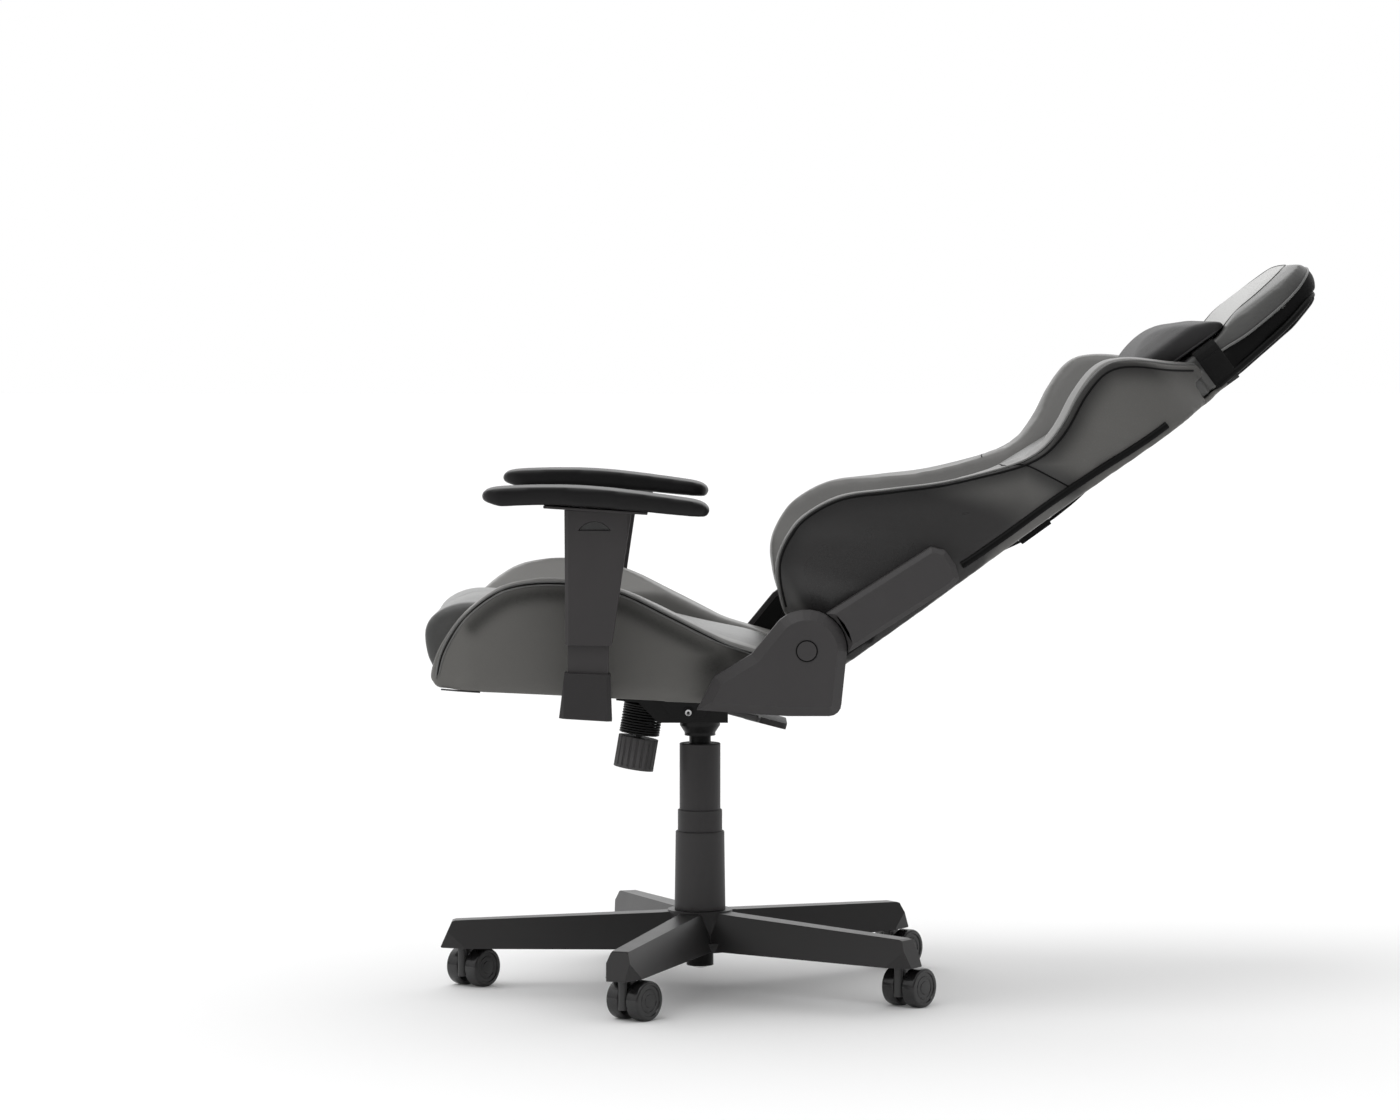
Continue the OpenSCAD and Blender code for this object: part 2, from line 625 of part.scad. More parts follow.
module back_frame() color([0.15, 0.15, 0.15]) back_place() {
  r = 10;
  for (x = [-upright_x, upright_x]) {
    bar([x, 24, tube_n], [x, 560, tube_n], r);
    bar([x, 560, tube_n], [x * 0.7, 606, tube_n], r);
    bar([x * 0.7, 606, tube_n], [x * 0.7, 640, tube_n + 3], r - 2);
    for (q = [[x, 560], [x * 0.7, 606]]) translate([q[0], q[1], tube_n]) sphere(r + 0.6);
  }
  bar([-upright_x, 36, tube_n], [upright_x, 36, tube_n], r - 1);
  bar([-upright_x, 330, tube_n], [upright_x, 330, tube_n], 6);
  bar([-upright_x * 0.7, 630, tube_n + 3], [upright_x * 0.7, 630, tube_n + 3], 6);
  // plate inside the headrest
  translate([-110, 630, -24]) cube([220, 104, 3]);
  both_sides() {
    // arm plate, spaced off the uprights by round spacers
    difference() {
      side_prism(arm_plate_outline, back_plate_x, back_plate_x + bracket_t);
      translate([back_plate_x, 0, 0]) x_cylinder(20, 8 + fit);
    }
    for (y = [70, 165]) bar([upright_x, y, tube_n], [back_plate_x + 2, y, tube_n], 8);
  }
}

arm_plate_outline = concat(
  [for (a = [115:25:265]) 24 * [cos(a), sin(a)]],
  [[30, -36], [186, -38], [192, -32], [192, -2], [186, 4], [40, 22]]);

arm_cover_outline = concat(
  [for (a = [-39:13:26]) [(recline_clear_r + 1.5) * cos(a), (recline_clear_r + 1.5) * sin(a)]],
  [[192, 14.5], [199, 14], [211, 0], [210.5, -22], [204, -38], [190, -40.5]]);

module back_arm_cover() color([0.26, 0.25, 0.25]) back_place() difference() {
  bevelled_plate(reversed(arm_cover_outline), back_plate_x + 6, 284, 6, 1);
  side_prism([[58, -28], [188, -33], [188, 6], [58, 14]], back_plate_x, 276);
}
module back_arm_cover_left() back_arm_cover();
module back_arm_cover_right() mirror([1, 0, 0]) back_arm_cover();

// ---- Pillows and straps ----

pillow_form = spline([
  [522, 14], [530, 32], [550, 48.5], [578, 56.8], [606, 53], [634, 39], [652, 30], [663, 22],
  [664, 17]]);
module neck_pillow() color([0.24, 0.24, 0.24]) back_place() intersection() {
  hw = neck_pillow_w / 2;
  crown = [[60, 58], [110, 50], [hw, 40], [hw, 0]];
  side_prism(concat(pillow_form, [[650, 13.6], [522, 13.4]]), -hw, hw);
  plan_prism(spline([[518, hw - 62], [530, hw - 32], [545, hw - 10], [562, hw - 1], [610, hw - 1],
                     [652, hw], [663, hw - 4], [665, hw - 16]]));
  front_prism(concat(crown, [for (q = reversed(crown)) [-q[0], q[1]]]), 500, 700);
}

module neck_strap() color([0.1, 0.1, 0.1]) back_place()
  translate([0, 608, 0]) rotate([-90, 0, 0]) linear_extrude(strap_w) difference() {
    translate([-158, -12.4]) square([316, 60]);
    translate([-156, -10.4]) square([312, 56.4]);
  }

lumbar_form = spline([
  [60, 31], [62, 60], [78, 84], [112, 97], [150, 97], [190, 85], [222, 62], [238, 38]]);
module lumbar_pillow() color([0.24, 0.24, 0.24]) back_place() intersection() {
  hw = lumbar_pillow_w / 2;
  side_prism(concat(lumbar_form, [[238, 29], [150, 31.5], [60, 29]]), -hw, hw);
  plan_prism(spline([[58, hw - 33], [72, hw - 9], [110, hw], [190, hw], [226, hw - 9],
                     [240, hw - 33]]));
}

// Flat band that follows a path in (Y, Z), t thick towards the left of the path
module band(path, x0, x1, t) {
  n = len(path) - 1;
  normal = [for (i = [0:n]) let (d = path[min(i + 1, n)] - path[max(i - 1, 0)])
    [-d[1], d[0]] / norm(d)];
  side_prism(concat(path, reversed([for (i = [0:n]) path[i] + t * normal[i]])), x0, x1);
}

strap_x = 103;
module lumbar_strap() color([0.1, 0.1, 0.1]) back_place() both_sides() {
  x0 = strap_x - strap_w / 2;
  x1 = strap_x + strap_w / 2;
  // over the front, through the slot and down the rear to the buckle
  band([[238.2, 31], [300, 22.8], [400, 15.2], [470, 11.6], [500, 10.8], [562, 9.9], [568, 6], [573, -20],
        [572, -44], [566, -46.6], [430, -46.6], [382, -54.5], [346.3, -57]], x0, x1, 2);
  // from the buckle under the foot of the backrest to the pillow
  band([[295.7, -58.5], [262, -49.2], [240, -48.6], [30, -48.6], [5.5, -48.6], [3, -42], [3, 10],
        [9, 19.5], [59.2, 30.4]], x0, x1, -2);
  translate([x0 - 4, 296, -61]) cube([strap_w + 8, 50, 6]);
}

// ---- Armrests ----

module armrest_post() color([0.15, 0.15, 0.15]) {
  seat_place() difference() {
    translate([112, post_y - 20, -5.5]) cube([arm_x - 112, 42, 5.5]);
    for (x = arm_bolt_x) translate([x, post_y, 0]) cylinder(h = 20, r = 4.2, center = true);
  }
  // upright tube
  difference() {
    translate([arm_x - 11, post_y - 25, 386]) cube([22, 50, 174]);
    translate([arm_x - 8.5, post_y - 22.5, 400]) cube([17, 45, 200]);
  }
}
module armrest_post_left() armrest_post();
module armrest_post_right() mirror([1, 0, 0]) armrest_post();

// Outline in plan with bevelled corners, hw half wide, from y0 to y1
function plan_box(hw, y0, y1, c) = [
  [arm_x - hw + c, y0], [arm_x + hw - c, y0], [arm_x + hw, y0 + c], [arm_x + hw, y1 - c],
  [arm_x + hw - c, y1], [arm_x - hw + c, y1], [arm_x - hw, y1 - c], [arm_x - hw, y0 + c]];

module armrest_boot() color([0.22, 0.21, 0.21]) difference() {
  intersection() {
    side_prism([[-173, 378], [-108, 374], [-110, 432], [-166, 434]], arm_x - 30, arm_x + 30);
    linear_extrude(big) polygon(plan_box(16, -173, -108, 6));
  }
  translate([arm_x - 11.1, post_y - 25.1, 385.8]) cube([22.2, 50.2, 100]);
  seat_place() translate([0, post_y - 20.2, -5.7]) cube([arm_x, 42.4, 5.9]);
}
module armrest_boot_left() armrest_boot();
module armrest_boot_right() mirror([1, 0, 0]) armrest_boot();

// Segment of a disc above a chord, as wide as a fingertip, from x0 to x1
module crescent(x0, x1, r) translate([(x0 + x1) / 2, -129, 597]) intersection() {
  x_cylinder(x1 - x0, r);
  translate([0, 0, 32 + 23 - r]) cube([100, 100, 40], center = true);
}

module armrest_sleeve() color([0.24, 0.23, 0.23]) difference() {
  union() {
    intersection() {
      side_prism([[-165, 468], [-108, 467], [-84, 630], [-166, 634]], arm_x - 30, arm_x + 30);
      linear_extrude(big) polygon(plan_box(17, -168, -82, 7));
    }
    // plate under the pad
    side_prism([[-191, 636.5], [-64, 628.5], [-64, 631.6], [-191, 639.8]], arm_x - 34, arm_x + 34);
  }
  translate([arm_x - 11.4, post_y - 25.4, 460]) cube([22.8, 50.8, 138]);
  // recess for the height button
  crescent(arm_x + 3, arm_x + 20, 23);
}
module armrest_sleeve_left() armrest_sleeve();
module armrest_sleeve_right() mirror([1, 0, 0]) armrest_sleeve();

module armrest_button() color([0.18, 0.18, 0.18]) crescent(arm_x + 6.5, arm_x + 13, 22.6);
module armrest_button_left() armrest_button();
module armrest_button_right() mirror([1, 0, 0]) armrest_button();

pad_top = spline([[-267.5, 646], [-264.5, 657], [-240, 661.5], [-165, 662.5], [-110, 659], [-45, 651],
                  [2, 643.5], [12.5, 634]]);
pad_under = spline([[8.5, 625.5], [-25, 628], [-75, 633], [-172, 640.6], [-245, 639]]);
module armrest_pad() color([0.15, 0.15, 0.15]) intersection() {
  side_prism(concat(reversed(pad_under), reversed(pad_top)), arm_x - 60, arm_x + 60);
  linear_extrude(big) hull() for (x = [arm_x - pad_w / 2 + 26, arm_x + pad_w / 2 - 26])
    for (y = [-241.5, -13.5]) translate([x, y]) circle(r = 26, $fn = 32);
}
module armrest_pad_left() armrest_pad();
module armrest_pad_right() mirror([1, 0, 0]) armrest_pad();

// ---- Which nodes are drawn ----

for (i = [1:5]) caster_place(i) {
  caster_fork();
  caster_wheel();
  mirror([1, 0, 0]) caster_wheel();
}
star_base();
gas_outer_tube();
guide_bush();
cover_lower();
gas_piston_rod();
gas_pressure_tube();
cover_middle();
cover_upper();
tilt_housing();
tilt_pivot_pin();
tension_spring();
tension_knob();
height_lever();
seat_plate();
seat_frame();
seat_cushion();
seat_bolster_left();
seat_bolster_right();
recliner_left();
recliner_right();
hinge_cover_left();
hinge_cover_right();
recline_lever();
mounting_bolts();
back_frame();
back_cushion();
back_bolster_left();
back_bolster_right();
back_shell();
back_arm_cover_left();
back_arm_cover_right();
neck_pillow();
neck_strap();
lumbar_pillow();
lumbar_strap();
armrest_post_left();
armrest_post_right();
armrest_boot_left();
armrest_boot_right();
armrest_sleeve_left();
armrest_sleeve_right();
armrest_button_left();
armrest_button_right();
armrest_pad_left();
armrest_pad_right();
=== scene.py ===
"""A reclined gaming chair: its looks, built around the packed solids."""
import json
import math

import bpy
import numpy as np
from mathutils import Matrix, Vector
from mathutils.bvhtree import BVHTree
from mathutils.kdtree import KDTree


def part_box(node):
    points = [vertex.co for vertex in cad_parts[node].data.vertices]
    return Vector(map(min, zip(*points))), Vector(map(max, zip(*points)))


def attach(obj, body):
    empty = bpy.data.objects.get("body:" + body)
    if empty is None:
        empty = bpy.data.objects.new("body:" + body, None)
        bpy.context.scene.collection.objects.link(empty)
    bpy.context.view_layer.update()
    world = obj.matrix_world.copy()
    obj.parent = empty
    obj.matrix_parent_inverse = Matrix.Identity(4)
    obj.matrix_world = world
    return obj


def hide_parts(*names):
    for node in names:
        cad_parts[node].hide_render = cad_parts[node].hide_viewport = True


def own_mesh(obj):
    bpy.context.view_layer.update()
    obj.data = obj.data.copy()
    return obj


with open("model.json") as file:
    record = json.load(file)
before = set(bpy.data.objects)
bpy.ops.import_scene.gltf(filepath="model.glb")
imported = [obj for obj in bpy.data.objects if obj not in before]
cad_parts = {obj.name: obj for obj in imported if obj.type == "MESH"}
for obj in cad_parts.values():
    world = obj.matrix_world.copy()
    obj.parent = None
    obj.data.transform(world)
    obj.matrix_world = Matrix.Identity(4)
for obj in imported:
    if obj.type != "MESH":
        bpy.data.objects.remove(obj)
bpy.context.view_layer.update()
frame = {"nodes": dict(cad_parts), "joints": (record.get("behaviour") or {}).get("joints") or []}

bl_info = {
    "name": "Gaming chair",
    "version": (1, 0, 0),
    "blender": (4, 5, 0),
    "location": "3D View > Sidebar > Chair",
    "description": "Upholstery, hardware and studio of a reclining gaming chair",
    "category": "Add Mesh",
}

NODES = frame["nodes"]
JOINTS = {joint["name"]: joint for joint in frame["joints"]}
MM = 0.001
# How close two vertices of a solid lie when they are one.
WELD = 0.00002
# The spacing of the points along a seam or a piping.
CORD_STEP = 0.008
# How far from a seam its groove reaches.
GROOVE = 0.005


# ---- Places ----------------------------------------------------------------------------------

RECLINE_PIVOT = Vector(JOINTS["back_recline"]["pos_m"])
BACK_ANGLE = math.radians(35.7)
# In the backrest's own frame X is the width, Y runs up the back and Z points at the sitter.
BACK = Matrix.Translation(RECLINE_PIVOT) @ Matrix.Rotation(BACK_ANGLE, 4, "X")
TO_BACK = np.linalg.inv(np.array(BACK))


def in_metres(points):
    """Points in millimetres as vectors in metres."""
    return [Vector(point) * MM for point in points]


def on_back(points):
    """Points (x, up the back, towards the sitter) in millimetres, placed in the chair's frame."""
    return [BACK @ point for point in in_metres(points)]


def back_directions(outward):
    """Directions of the chair's frame in the backrest's own, one row for each of its axes."""
    return TO_BACK[:3, :3] @ outward.T


def back_places(points):
    """Places of the chair's frame in the backrest's own, one row for each of its axes."""
    return (TO_BACK @ np.c_[points, np.ones(len(points))].T)[:3]


def both_halves(half):
    """A line that ends on the middle plane, carried on by its mirror image."""
    return np.concatenate([half, (half * (-1, 1, 1))[-2::-1]])


def smooth_line(points, steps=6):
    """A smooth curve through the points, with so many steps between two of them."""
    points = [np.array(p, float) for p in points]
    line = []
    for i in range(len(points) - 1):
        a, b, c, d = (points[min(max(k, 0), len(points) - 1)] for k in (i - 1, i, i + 1, i + 2))
        for t in np.arange(steps) / steps:
            line.append(0.5 * (2 * b + (c - a) * t + (2 * a - 5 * b + 4 * c - d) * t ** 2
                               + (3 * b - a - 3 * c + d) * t ** 3))
    return np.array(line + [points[-1]])


def even_line(points, spacing):
    """The polyline resampled to points about spacing apart."""
    points = np.array(points, float)
    run = np.concatenate([[0], np.cumsum(np.linalg.norm(np.diff(points, axis=0), axis=1))])
    at = np.linspace(0, run[-1], max(2, int(run[-1] / spacing) + 1))
    return np.stack([np.interp(at, run, points[:, k]) for k in range(3)], axis=1)


# Outlines of the panels, in millimetres. Seat lines are (y, z); back lines are (up, forward).
SEAT_BOLSTER_TOP = smooth_line([
    (-337, 420), (-331, 443), (-319, 468), (-295, 500), (-253, 532), (-213, 543.5), (-170, 545),
    (-101, 532), (-36, 501), (23, 472), (62, 459), (100, 446)])
SEAT_PAN_TOP = smooth_line([
    (-341, 440), (-342.5, 463), (-335.5, 488), (-313, 509.5), (-274, 519), (-200, 514),
    (-100, 492), (0, 468), (80, 450), (138, 418)])
WING_FRONT = smooth_line([
    (3, 52), (11, 74), (32, 110), (70, 132), (102, 137), (146, 130), (192, 106), (260, 69),
    (332, 40), (375, 31), (417, 41), (458, 62), (502, 73), (536, 58), (572, 26), (603, 2)])
WING_HALF_WIDTH = smooth_line([
    (0, 232), (40, 246), (100, 251), (180, 250), (260, 243), (340, 239), (420, 248),
    (485, 262), (525, 262), (556, 246), (585, 205), (604, 168)])


def wing_half_width(up):
    """Half the width of the backrest's side at a height up the back."""
    return float(np.interp(up, WING_HALF_WIDTH[:, 0], WING_HALF_WIDTH[:, 1]))


def offset_line(line, distance):
    """A plane line moved to its right-hand side by distance."""
    line = np.array(line, float)
    along = np.gradient(line, axis=0)
    along /= np.linalg.norm(along, axis=1)[:, None]
    return line + distance * np.stack([along[:, 1], -along[:, 0]], axis=1)


# ---- Modelling helpers -------------------------------------------------------------------------

def only(piece):
    """Selects one object alone and makes it the active one."""
    if bpy.context.mode != "OBJECT":
        bpy.ops.object.mode_set(mode="OBJECT")
    bpy.ops.object.select_all(action="DESELECT")
    piece.hide_viewport = False
    piece.select_set(True)
    bpy.context.view_layer.objects.active = piece
    return piece


def added(name):
    """The object that an operator has just added, named."""
    piece = bpy.context.active_object
    piece.name = piece.data.name = name
    return only(piece)


def add(operator, name, **settings):
    """Runs one of the add operators with nothing else selected."""
    bpy.ops.object.select_all(action="DESELECT")
    operator(**settings)
    return added(name)


def finish_modifier(piece, kind, **settings):
    """Adds a modifier to a piece and applies it."""
    modifier = piece.modifiers.new(kind.title(), kind)
    for key, value in settings.items():
        setattr(modifier, key, value)
    only(piece)
    bpy.ops.object.modifier_apply(modifier=modifier.name)


def place(piece, matrix=None):
    """Puts the object's place into its mesh, so that the object sits at the origin."""
    if matrix is not None:
        piece.matrix_world = matrix @ piece.matrix_world
    only(piece)
    bpy.ops.object.transform_apply(location=True, rotation=True, scale=True)
    return piece


def pick(piece, mode, test):
    """Edit mode with only the vertices, edges or faces selected for which test(element) holds."""
    only(piece)
    bpy.ops.object.mode_set(mode="EDIT")
    bpy.ops.mesh.select_mode(type=mode)
    bpy.ops.mesh.select_all(action="DESELECT")
    bpy.ops.object.mode_set(mode="OBJECT")
    items = {"VERT": piece.data.vertices, "EDGE": piece.data.edges, "FACE": piece.data.polygons}
    for item in items[mode]:
        item.select = bool(test(item))
    bpy.ops.object.mode_set(mode="EDIT")


def done():
    """Back to object mode."""
    bpy.ops.object.mode_set(mode="OBJECT")


def all_picked(piece):
    """Edit mode with the whole piece selected."""
    only(piece)
    bpy.ops.object.mode_set(mode="EDIT")
    bpy.ops.mesh.select_all(action="SELECT")


def copy_of_node(node, name):
    """A new piece with a copy of a solid's mesh, its loose triangles merged."""
    piece = bpy.data.objects.new(name, NODES[node].data.copy())
    piece.data.name = name
    piece.data.materials.clear()
    bpy.context.scene.collection.objects.link(piece)
    all_picked(piece)
    bpy.ops.mesh.remove_doubles(threshold=WELD)
    bpy.ops.mesh.tris_convert_to_quads()
    done()
    return piece


def mirrored(piece, name):
    """A copy of a piece on the chair's other side."""
    twin = bpy.data.objects.new(name, piece.data.copy())
    twin.data.name = name
    bpy.context.scene.collection.objects.link(twin)
    twin.data.transform(Matrix.Scale(-1, 4, (1, 0, 0)))
    twin.data.flip_normals()
    return twin


def tube(name, points, radius, closed=False):
    """A round bar along points, as piping, thread or wire."""
    piece = add(bpy.ops.curve.primitive_nurbs_path_add, name)
    piece.data.splines.clear()
    line = piece.data.splines.new("POLY")
    line.points.add(len(points) - 1)
    for slot, point in zip(line.points, points):
        slot.co = (*point, 1)
    line.use_cyclic_u = closed
    piece.data.bevel_depth = radius
    piece.data.bevel_resolution = 2
    piece.data.use_fill_caps = not closed
    piece.location = (0, 0, 0)
    only(piece)
    bpy.ops.object.convert(target="MESH")
    piece = added(name)
    bpy.ops.object.shade_smooth()
    return place(piece)


def joined(name, pieces):
    """Several pieces joined into one."""
    only(pieces[0])
    for piece in pieces[1:]:
        piece.select_set(True)
    bpy.ops.object.join()
    return added(name)


def webbing(name, points, across, thickness):
    """A flat strap whose middle follows points; across is half its width as a vector."""
    piece = add(bpy.ops.mesh.primitive_grid_add, name, x_subdivisions=len(points) - 1,
                y_subdivisions=4, size=1, calc_uvs=True)
    columns = sorted({round(v.co.x, 5) for v in piece.data.vertices})
    for vertex in piece.data.vertices:
        column = columns.index(round(vertex.co.x, 5))
        vertex.co = Vector(points[column]) + 2 * vertex.co.y * Vector(across)
    length = sum((Vector(a) - Vector(b)).length for a, b in zip(points, points[1:]))
    for loop in piece.data.uv_layers.active.data:
        loop.uv = (loop.uv[0] * length, loop.uv[1] * 2 * Vector(across).length)
    finish_modifier(piece, "SOLIDIFY", thickness=thickness, offset=0)
    finish_modifier(piece, "BEVEL", width=thickness * 0.35, segments=2, limit_method="ANGLE")
    bpy.ops.object.shade_smooth_by_angle(angle=math.radians(50))
    return piece


def surface_of(piece):
    """A search tree of a piece's surface."""
    mesh = piece.data
    return BVHTree.FromPolygons([v.co for v in mesh.vertices], [p.vertices for p in mesh.polygons])


def laid_on(surface, points, lift):
    """The points moved to the nearest place of a surface and lifted off it."""
    line = []
    for point in points:
        spot, normal, _, _ = surface.find_nearest(Vector(point))
        line.append(spot + normal * lift)
    return relaxed(line)


def relaxed(line, rounds=3):
    """A line with its small kinks smoothed out."""
    line = np.array([tuple(p) for p in line])
    for _ in range(rounds):
        line[1:-1] = 0.5 * line[1:-1] + 0.25 * (line[:-2] + line[2:])
    return line


def cord(name, surface, line, lift, radius, spacing=CORD_STEP):
    """A piping, welt or seam: a round bar that follows a line over a surface."""
    return tube(name, laid_on(surface, even_line(line, spacing), lift), radius)


# ---- Padded pieces -----------------------------------------------------------------------------

def coordinates(piece):
    """Where a piece's vertices are, one row each."""
    values = np.empty(len(piece.data.vertices) * 3, np.float32)
    piece.data.vertices.foreach_get("co", values)
    return values.reshape(-1, 3).astype(float)


def set_coordinates(piece, values):
    """Moves a piece's vertices."""
    piece.data.vertices.foreach_set("co", values.astype(np.float32).ravel())
    piece.data.update()


def normals(piece):
    """Which way a piece's vertices face, one row each."""
    return np.array([v.normal for v in piece.data.vertices], float)


def bell(distance, reach):
    """1 at no distance, and about a third at its reach."""
    return np.exp(-(distance / reach) ** 2)


def seam_distance(points, seams):
    """How far each point is from the nearest seam."""
    spots = np.concatenate([even_line(seam, 0.004) for seam in seams])
    tree = KDTree(len(spots))
    for i, spot in enumerate(spots):
        tree.insert(spot, i)
    tree.balance()
    return np.array([tree.find(Vector(p))[2] for p in points])


def inflate(piece, pressure, frames=20):
    """Blows a closed cloth up from inside and keeps its last shape."""
    cloth = piece.modifiers.new("Cloth", "CLOTH")
    settings = cloth.settings
    settings.use_pressure = True
    settings.uniform_pressure_force = pressure
    settings.effector_weights.gravity = 0
    settings.quality = 4
    settings.tension_stiffness = settings.compression_stiffness = 12
    settings.bending_stiffness = 0.4
    scene = bpy.context.scene
    scene.frame_start, scene.frame_end = 1, frames
    for number in range(1, frames + 1):
        scene.frame_set(number)
    only(piece)
    bpy.ops.object.modifier_apply(modifier=cloth.name)
    scene.frame_set(1)


def stuffed(node, name, seams, swell, reach, tuck=0.002, *, free, voxel=None, cloth=True,
            dents=(), rounding=None, shaded=None, dark=None, dark_reach=None, plug=None,
            settled=None):
    """A cushion made from its solid: remeshed, blown up, held back at its seams and smoothed.

    swell is the most that the cover may rise, reach how far from a seam it gets there, tuck the
    depth of the seam's groove, and free(points, normals) a share from 0, held, to 1. Without
    cloth it rises by that measure alone. Each dent is a place, a radius and a depth, and
    settled(points) is how far use has moved the filling. Painted shade darkens the leather
    along the dark lines, or the seams, by the share shaded(points, normals), and in the dents.
    A plug closes a pocket first."""
    sizes = bpy.context.scene.chair_upholstery
    piece = copy_of_node(node, name)
    if plug is not None:
        piece = joined(name, [piece, plug])
    piece.data.remesh_voxel_size = voxel or sizes.voxel
    only(piece)
    bpy.ops.object.voxel_remesh()
    all_picked(piece)
    repeat = sizes.rounding if rounding is None else rounding
    bpy.ops.mesh.vertices_smooth(factor=0.5, repeat=repeat)
    done()
    start, outward = coordinates(piece), normals(piece)
    distance = seam_distance(start, seams)
    limit = swell * (1 - bell(distance, reach)) * free(start, outward)
    if not cloth:
        rise = outward * limit[:, None]
    else:
        inflate(piece, sizes.pressure)
        rise = coordinates(piece) - start
        size = np.linalg.norm(rise, axis=1)
        rise *= np.minimum(1, limit / np.maximum(size, 1e-9))[:, None]
    sunk = tuck * bell(distance, GROOVE)
    for spot, radius, depth in dents:
        sunk += depth * bell(np.linalg.norm(start - np.array(spot), axis=1), radius)
    if settled is not None:
        rise = rise + settled(start)
    set_coordinates(piece, start + rise - outward * sunk[:, None])
    finish_modifier(piece, "SUBSURF", levels=1, render_levels=1)
    # Painted shade: the seam attribute darkens the leather beside the dark lines, by the share
    # shaded, and in the dents; the leather is also rougher there.
    points = coordinates(piece)
    seam = bell(seam_distance(points, dark or seams), dark_reach or sizes.seam_reach)
    if shaded is not None:
        seam *= shaded(points, normals(piece))
    # The dents get painted shade too.
    for spot, radius, _ in dents:
        seam = np.maximum(seam, bell(np.linalg.norm(points - np.array(spot), axis=1), radius))
    piece.data.attributes.new("seam", "FLOAT", "POINT").data.foreach_set("value", seam)
    bpy.ops.object.shade_smooth()
    return piece


# ---- Materials ---------------------------------------------------------------------------------

class Socket:
    """One output of a material's node tree, on which arithmetic adds Math nodes."""

    def __init__(self, paint, socket):
        self.paint, self.socket = paint, socket

    def _math(self, operation, *values):
        return self.paint.node("ShaderNodeMath", {"operation": operation},
                               dict(enumerate(values)))

    def __add__(self, other):
        return self._math("ADD", self, other)

    def __sub__(self, other):
        return self._math("SUBTRACT", self, other)

    def __mul__(self, other):
        return self._math("MULTIPLY", self, other)

    def __pow__(self, other):
        return self._math("POWER", self, other)

    def __rsub__(self, other):
        return self._math("SUBTRACT", other, self)

    __radd__ = __add__
    __rmul__ = __mul__

    def at_most(self, other):
        """The smaller of two values."""
        return self._math("MINIMUM", self, other)

    def at_least(self, other):
        """The larger of two values."""
        return self._math("MAXIMUM", self, other)

    def step(self, low, high):
        """0 below low, 1 above high, and smooth between."""
        return self.paint.node("ShaderNodeMapRange", {"interpolation_type": "SMOOTHSTEP"},
                               {"Value": self, "From Min": low, "From Max": high})


class Paint:
    """A material with one Principled shader; constants go straight onto its sockets."""

    def __init__(self, name, **constants):
        self.material = bpy.data.materials.new(name)
        self.material.use_nodes = True
        self.tree = self.material.node_tree
        self.shader = next(n for n in self.tree.nodes if n.type == "BSDF_PRINCIPLED")
        for key, value in constants.items():
            title = key.replace("_", " ").title().replace("Ior", "IOR")
            self.shader.inputs[title].default_value = value

    def node(self, kind, settings=None, inputs=None, output=0):
        """A node of any kind: its settings first, then the values or links of its sockets."""
        node = self.tree.nodes.new(kind)
        for key, value in (settings or {}).items():
            setattr(node, key, value)
        for key, value in (inputs or {}).items():
            if isinstance(value, Socket):
                self.tree.links.new(value.socket, node.inputs[key])
            else:
                node.inputs[key].default_value = value
        return Socket(self, node.outputs[output])

    def place(self, scale=(1, 1, 1), turn=(0, 0, 0)):
        """Object coordinates, turned and scaled by a Mapping node."""
        spot = self.node("ShaderNodeTexCoord", output="Object")
        return self.node("ShaderNodeMapping",
                         inputs={"Vector": spot, "Rotation": turn, "Scale": scale})

    def noise(self, spot, scale, detail, rough=0.55):
        """Clouds; scale is about how many there are to a metre."""
        return self.node("ShaderNodeTexNoise", inputs={
            "Vector": spot, "Scale": scale, "Detail": detail, "Roughness": rough})

    def cells(self, spot, scale):
        """Cells like pebbles: 0 at their borders and more towards their middles."""
        return self.node("ShaderNodeTexVoronoi", {"feature": "DISTANCE_TO_EDGE"},
                         {"Vector": spot, "Scale": scale})

    def attribute(self, name):
        """A number that the mesh carries at its vertices."""
        return self.node("ShaderNodeAttribute", {"attribute_name": name}, output="Fac")

    def split(self, vector):
        """The X, Y and Z of a vector as three sockets."""
        first = self.node("ShaderNodeSeparateXYZ", inputs={"Vector": vector})
        return [Socket(self, output) for output in first.socket.node.outputs]

    def mix(self, share, first, second):
        """Two colours mixed by share."""
        node = self.tree.nodes.new("ShaderNodeMix")
        node.data_type = "RGBA"
        for key, value in (("Factor_Float", share), ("A_Color", first), ("B_Color", second)):
            slot = next(s for s in node.inputs if s.identifier == key)
            if isinstance(value, Socket):
                self.tree.links.new(value.socket, slot)
            else:
                slot.default_value = value
        return Socket(self, next(s for s in node.outputs if s.identifier == "Result_Color"))

    def bump(self, height, distance, strength, under=None):
        """A relief on top of the one under it."""
        inputs = {"Height": height, "Distance": distance, "Strength": strength}
        if under is not None:
            inputs["Normal"] = under
        return self.node("ShaderNodeBump", inputs=inputs)

    def set(self, **links):
        """Links sockets to the shader's inputs and gives the finished material."""
        for key, value in links.items():
            self.tree.links.new(value.socket, self.shader.inputs[key.replace("_", " ").title()])
        return self.material


class Sky(Paint):
    """The world's shader, built with the same sockets as a material."""

    def __init__(self, name):
        self.material = bpy.data.worlds.new(name)
        self.material.use_nodes = True
        self.tree = self.material.node_tree
        self.shader = self.tree.nodes["Background"]


def shade(colour, factor):
    """A colour made lighter or darker."""
    return (*[min(1.0, c * factor) for c in colour[:3]], 1.0)


def on_back_axes(paint):
    """How far a point is across the backrest, up it and towards the sitter, in metres."""
    return paint.split(paint.node("ShaderNodeMapping", {"vector_type": "TEXTURE"}, {
        "Vector": paint.node("ShaderNodeTexCoord", output="Object"),
        "Location": RECLINE_PIVOT, "Rotation": (BACK_ANGLE, 0, 0)}))


